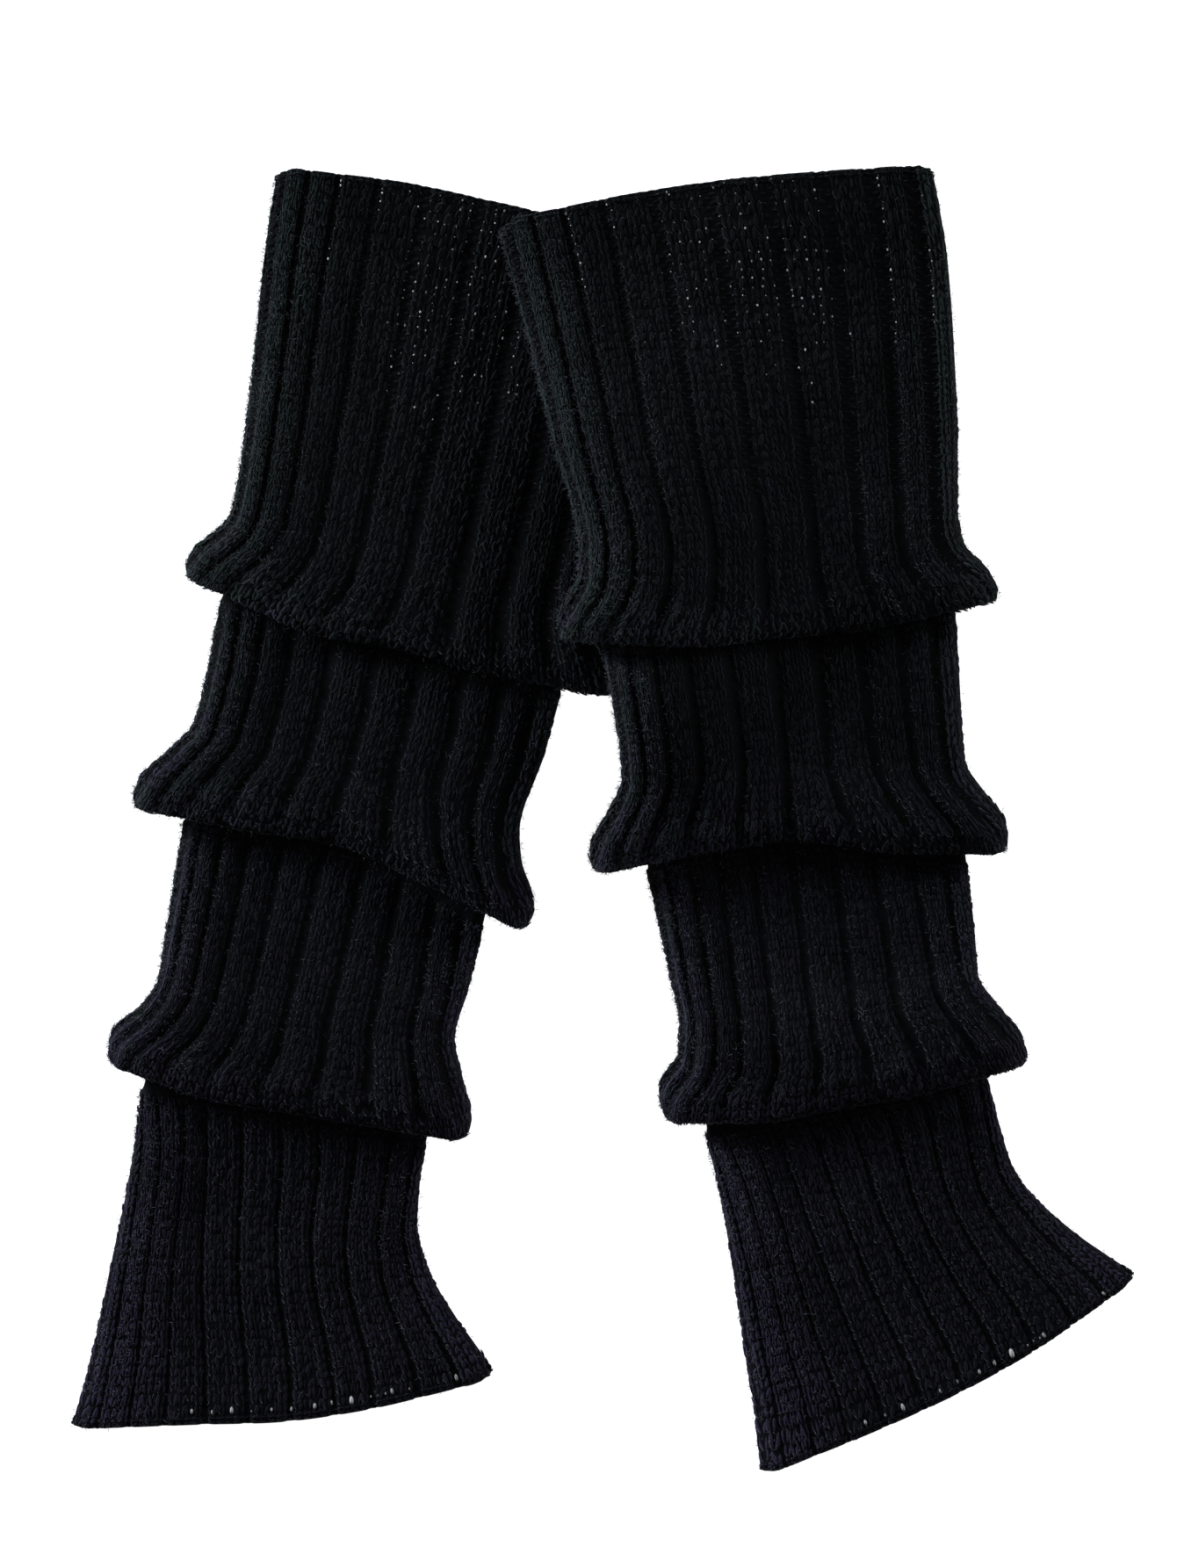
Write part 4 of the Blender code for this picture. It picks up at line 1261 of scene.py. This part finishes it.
def rim_chain(surface, down, rng):
    """Stitches on their sides along the edge of the cloth, all round."""
    ribs = np.arange(0, RIBS, 0.2)
    spots = surface.spots(np.full(len(ribs), down), ribs, 1.4, 0.2, rng, high=CHAIN_HIGH)
    spots["up_leg"] = np.cross(spots["up_leg"], spots["off_cloth"])
    long, high = spots["size"][:, 0] * 1.05, spots["size"][:, 2]
    spots["size"] = np.stack([np.full(len(ribs), CHAIN_WIDE), long, high], axis=1)
    return kept(spots, (spots["off_cloth"][:, 2] > -0.3) & (spots["place"][:, 2] > 1.2))


bar = small_mesh("purl_bar", [purl_bar()])
for leg, surface in surfaces.items():
    bars = purl_bars(surface, rng)
    # The bars take the darker wall yarn: painted shade in the grooves.
    set_on_knit(f"{leg}_purl_bars", bar, bars, shaded_wall_yarn, looseness=0.15, seed=21)
    cast_on = rim_chain(surface, CAST_ON_PLACE, rng)
    set_on_knit(f"{leg}_cast_on_chain", stitch, cast_on, yarn, looseness=0.1, seed=23)
    cast_off = rim_chain(surface, surface.tube.length - CAST_OFF_PLACE, rng)
    # The cast-off chain takes the darker wall yarn too: painted shade.
    set_on_knit(f"{leg}_cast_off_chain", stitch, cast_off, shaded_wall_yarn, looseness=0.1, seed=24)
for shape in (stitch, bar):
    bpy.data.objects.remove(shape, do_unlink=True)

# %% [markdown]
# Where the knit is stretched, light from the table comes up between the strands. In the top band this is a
# scatter of pinholes, in runs down the edges of some grooves and thick in the middle, and each is hardly
# wider than a strand. Along the hem, the last course before the cast-off is looser, and leaves a row of
# eyelets. Both are small pale lenses that sit low between the stitches, uneven in size and brightness.

# %% Pinholes and eyelets
Run = namedtuple("Run", "groove start end")
Scatter = namedtuple("Scatter", "first last start thick end")
HOLE_RUNS = {
    "left": (Run(2, 5, 31), Run(3, 5, 16)),
    "right": (Run(1, 7, 12), Run(2, 6, 34), Run(3, 6, 20), Run(8, 4, 55), Run(9, 6, 50)),
}
HOLE_SCATTER = {"left": Scatter(3.5, 6.6, 4, 46, 84), "right": Scatter(3.8, 7.3, 3, 36, 84)}
HOLE_COURSES = (3.5, 90)  # mm down the tube, between which the pinholes are
HOLE_CHANCE = 0.6  # that there is a pinhole between two columns and courses, where they are thickest
RUN_CHANCE = 0.85  # the same in a run down a groove
HOLE_BRIGHT = 0.8  # how bright a pinhole can be
RUN_BRIGHT = 2.6  # above 1, more of them are as bright as they can be
HOLE_WIDE = (0.25, 0.72)  # mm
HOLE_LONG = (1.0, 1.9)  # in widths
LENS_UP = 0.4  # mm that a lens sits above the skin
EYELET_RISE = 6.5  # mm from the hem up to the eyelets
EYELETS = {  # share of the way across the hem, and size
    "left": (
        (0.284, 0.8), (0.333, 0.7), (0.378, 1.0), (0.425, 0.45), (0.471, 0.65), (0.518, 0.8), (0.573, 0.9),
        (0.613, 0.8), (0.661, 1.15), (0.707, 0.5), (0.724, 0.5), (0.743, 0.5), (0.759, 0.9), (0.801, 0.5),
        (0.919, 1.0),
    ),
    "right": (
        (0.271, 0.8), (0.322, 0.6), (0.367, 1.1), (0.464, 0.8), (0.509, 0.7), (0.567, 0.8), (0.608, 0.9),
        (0.655, 1.35), (0.697, 0.5), (0.715, 0.5), (0.732, 0.5), (0.743, 0.9), (0.918, 0.8),
    ),
}


def pale_finish():
    """Light between the strands, from grey to nearly white by each hole's own shade."""
    finish = Finish("light_between_strands")
    shade = finish.node("ShaderNodeAttribute", {"attribute_name": "shade"}, {}, "Fac")
    finish.fill(finish.surface, {
        "Base Color": finish.between((0.02, 0.02, 0.022, 1), (0.55, 0.55, 0.54, 1), shade),
        "Roughness": 0.8,
        "Specular IOR Level": 0.1,
    })
    return finish.material


def lens_shape():
    """A low round lens, one wide and one long."""
    turns = np.arange(8) * np.pi / 4
    edge = [(0.5 * np.cos(a), 0.5 * np.sin(a), 0.0) for a in turns]
    faces = [(8, n, (n + 1) % 8) for n in range(8)] + [(9, (n + 1) % 8, n) for n in range(8)]
    return edge + [(0, 0, 0.5), (0, 0, -0.5)], faces


def pinholes(surface, leg, rng):
    """Holes between columns and courses of the top band, where the knit is stretched."""
    middles, widths = wale_columns(0)
    edges = np.unique(np.round(np.concatenate([middles - widths / 2, middles + widths / 2]), 4))
    courses = np.arange(*HOLE_COURSES, COURSE)
    down, ribs = [grid.ravel() for grid in np.meshgrid(courses, edges, indexing="ij")]
    scatter = HOLE_SCATTER[leg]
    fade = smooth((scatter.end - down) / (scatter.end - scatter.thick))
    within = smooth((ribs - scatter.first) / 0.5) * smooth((scatter.last - ribs) / 0.5)
    chance = HOLE_CHANCE * fade * within * (down > scatter.start)
    brightest = np.full(len(down), HOLE_BRIGHT)
    for run in HOLE_RUNS[leg]:
        beside = (ribs > run.groove) & (ribs < run.groove + 0.3) & (down > run.start) & (down < run.end)
        chance = np.where(beside, RUN_CHANCE, chance)
        brightest = np.where(beside, RUN_BRIGHT, brightest)
    mine = rng.random(len(down)) < chance
    spots = surface.spots(down[mine], ribs[mine], COURSE, 0.2, rng)
    count = len(spots["shade"])
    wide = rng.uniform(*HOLE_WIDE, count)
    spots["size"] = np.stack([wide, wide * rng.uniform(*HOLE_LONG, count), np.full(count, 0.3)], axis=1)
    spots["place"] += spots["off_cloth"] * LENS_UP + rng.normal(0, 0.35, (count, 3)) * np.array((1, 1, 0))
    spots["shade"] = np.clip(brightest[mine] * rng.random(count) ** 1.6, 0, 1)
    return spots


def eyelets(surface, leg, rng):
    """The row of holes along the hem."""
    across, size = np.array(EYELETS[leg]).T
    ribs = np.interp(across, GROOVES[max(GROOVES)], np.arange(FRONT_GROOVES))
    down = surface.tube.length - EYELET_RISE + rng.uniform(-0.3, 0.3, len(ribs))
    spots = surface.spots(down, ribs, COURSE, 0.2, rng)
    spots["size"] = np.stack([1.2 * size, 2.5 * size ** 1.3, np.full(len(size), 0.4)], axis=1)
    spots["place"] += spots["off_cloth"] * LENS_UP
    spots["shade"] = np.clip(0.25 + 0.45 * (size - 0.5) + rng.uniform(-0.1, 0.1, len(size)), 0, 1)
    return spots


pale = pale_finish()
low_lens = small_mesh("low_lens", [lens_shape()])
for leg, surface in surfaces.items():
    set_on_knit(f"{leg}_pinholes", low_lens, pinholes(surface, leg, rng), pale, looseness=0.1, seed=31)
    set_on_knit(f"{leg}_eyelets", low_lens, eyelets(surface, leg, rng), pale, looseness=0.1, seed=32)
bpy.data.objects.remove(low_lens, do_unlink=True)

# %% [markdown]
# Wool yarn is never clean-edged. Loose fibres stand off it everywhere, most of them as dark as the yarn, and
# a few paler, partly as lint and partly as a painted highlight, and they are what softens the outline against
# the table. A fibre is a bent three-sided spike. They are strewn at random over all that shows, with a fixed
# seed, and lean every way.
#
# The nap is shorter and thicker, straight and pale: a painted highlight, for the light that the fuzz catches.
# It stands where the cloth faces the stronger light: on the ribs along the left edge, on more of them near a
# lip, on the ridges above the lips and at the left of the top rim. A little of it lies along the right edge.

# %% Loose fibres and nap
STREWN = 400  # mm of tube that the next two numbers are for
FIBRES = 5500
NAP = 40000  # before most of it is left out
EDGE_NAP = 0.07  # the share of it that lies along the very edge
EDGE_RIBS = (-0.3, -0.06)  # where that is, in ribs from the first groove
NAP_ON_TIERS = {"left": (1.0, 1.0, 0.9, 0.9), "right": (2.0, 1.0, 0.8, 0.8)}
LIT_RIDGE = 0.6  # mm, above which a ridge has nap
# The loose fibres are paler than the yarn: partly lint, partly painted highlight.
FUZZ_COLOURS = (0.004, 0.0044, 0.0055), (0.024, 0.028, 0.032), (0.026, 0.027, 0.036)
# The nap is far paler than the yarn: painted highlight.
NAP_HIGHLIGHT_COLOURS = (0.020, 0.022, 0.026), (0.128, 0.136, 0.156), (0.130, 0.128, 0.172)


def fibre_shape():
    """A bent spike, one long, with its root at the origin."""
    points, faces = [], []
    for height, lean, thick in ((0.0, 0.0, 1.0), (0.55, 0.16, 0.7)):
        for n in range(3):
            angle = 2 * np.pi * n / 3
            points.append((lean + 0.5 * thick * np.cos(angle), 0.5 * thick * np.sin(angle), height))
    points.append((0.55, 0.0, 1.0))
    for n in range(3):
        m = (n + 1) % 3
        faces += [(n, m, 3 + m, 3 + n), (3 + n, 3 + m, 6)]
    return points, faces + [(2, 1, 0)]


def nap_shape():
    """A short straight spike that is thickest a third of the way up, one long."""
    turns = 2 * np.pi * np.arange(3) / 3
    corners = [(0.5 * np.cos(angle), 0.5 * np.sin(angle), 0.35) for angle in turns]
    sides = [(n, (n + 1) % 3, 3) for n in range(3)] + [((n + 1) % 3, n, 4) for n in range(3)]
    return corners + [(0.0, 0.0, 1.0), (0.0, 0.0, 0.0)], sides


def fibres_at(surface, down, ribs, rng, long, thick, upright):
    """Fibres with their roots at places on the knit, leaning every way but into the table."""
    spots = surface.spots(down, ribs, COURSE, 0.2, rng)
    spots = kept(spots, shows(spots, down))
    count = len(spots["shade"])
    spots["place"] += 0.3 * spots["off_cloth"]
    lean = rng.normal(0, 1, (count, 3))
    stand = spots["off_cloth"] * rng.uniform(0.3, 1.3, (count, 1)) * upright + 0.7 * lean
    stand[:, 2] = np.maximum(stand[:, 2], 0.0)
    spots["off_cloth"] = stand / np.linalg.norm(stand, axis=1, keepdims=True)
    spots["up_leg"] = np.cross(spots["off_cloth"], rng.normal(0, 1, (count, 3)))
    wide = rng.uniform(0.7, 1.3, count) * thick
    spots["size"] = np.stack([wide, wide, rng.uniform(0.4, 1.0, count) * long], axis=1)
    return spots


def loose_fibres(surface, rng):
    """Roots anywhere on the knit that shows."""
    down, ribs = [], []
    for start, end in tiers_of(surface.tube):
        count = int(FIBRES * (end - start) / STREWN)
        down.append(rng.uniform(start + 1, end - 1, count))
        ribs.append(rng.uniform(-1, FRONT_GROOVES + 1, count))
    down, ribs = np.concatenate(down), np.concatenate(ribs)
    return fibres_at(surface, down, ribs, rng, long=2.6, thick=0.10, upright=1.0)


def lit_nap(surface, leg, rng):
    """Pale nap, a painted highlight: where the cloth faces left or gets the painted light from the left,
    along the right edge, on ridges and at the top rim.
    """
    down, ribs, much, left_lit = [], [], [], []
    for tier, (start, end) in enumerate(tiers_of(surface.tube)):
        count = int(NAP * (end - start) / STREWN)
        down.append(rng.uniform(start + 1, end - 1, count))
        edge = rng.random(count) < EDGE_NAP
        on_edge = rng.uniform(*EDGE_RIBS, count)
        ribs.append(np.where(edge, on_edge, rng.uniform(-1, FRONT_GROOVES + 1, count)))
        much.append(np.full(count, NAP_ON_TIERS[leg][tier]))
        left_lit.append(painted_left_light(down[-1], ribs[-1], tier, end))
    down, ribs, much, left_lit = [np.concatenate(lists) for lists in (down, ribs, much, left_lit)]
    spots = surface.spots(down, ribs, COURSE, 0.2, rng)
    leftward = -spots["off_cloth"][:, 0]
    part = ribs - np.floor(ribs)
    on_rib = smooth((part - 0.08) / 0.15) * smooth((0.92 - part) / 0.25)
    clear = smooth((np.minimum(part, 1 - part) - 0.03) / 0.06)
    facing = np.clip(leftward / 0.5, 0, 1)
    right_edge = 0.5 * np.clip(-leftward / 0.8, 0, 1) * (ribs > FRONT_GROOVES - 1.6)
    lit_rim_teeth = 0.8 * smooth((7 - down) / 4) * np.clip(1.0 - (ribs - 1) / 2.5, 0, 1)
    chance = much * clear * np.max([facing, right_edge, 1.1 * left_lit * on_rib, lit_rim_teeth * on_rib], axis=0)
    for crease in surface.tube.creases:
        if crease.high > LIT_RIDGE:
            away = along_side(spots["place"][:, :2], np.array(crease.start), np.array(crease.end))[1]
            chance = np.maximum(chance, crease.high * np.exp(-(away / (0.7 * crease.wide)) ** 2))
    mine = rng.random(len(down)) < chance
    return fibres_at(surface, down[mine], ribs[mine], rng, long=2.2, thick=0.20, upright=0.4)


fibre = small_mesh("loose_fibre", [fibre_shape()])
spike = small_mesh("nap_fibre", [nap_shape()])
fuzz = yarn_finish("loose_fibres", FUZZ_COLOURS, 0.1)
nap = yarn_finish("lit_nap", NAP_HIGHLIGHT_COLOURS, 0.1)
for leg, surface in surfaces.items():
    set_on_knit(f"{leg}_loose_fibres", fibre, loose_fibres(surface, rng), fuzz, looseness=3.1, seed=41)
    set_on_knit(f"{leg}_lit_nap", spike, lit_nap(surface, leg, rng), nap, looseness=3.1, seed=42)
for shape in (fibre, spike):
    bpy.data.objects.remove(shape, do_unlink=True)

# %% Each skin stands for its solid
for wall, node in ((left_wall, "left_leg_warmer"), (right_wall, "right_leg_warmer")):
    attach(wall, "root")
    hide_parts(node)
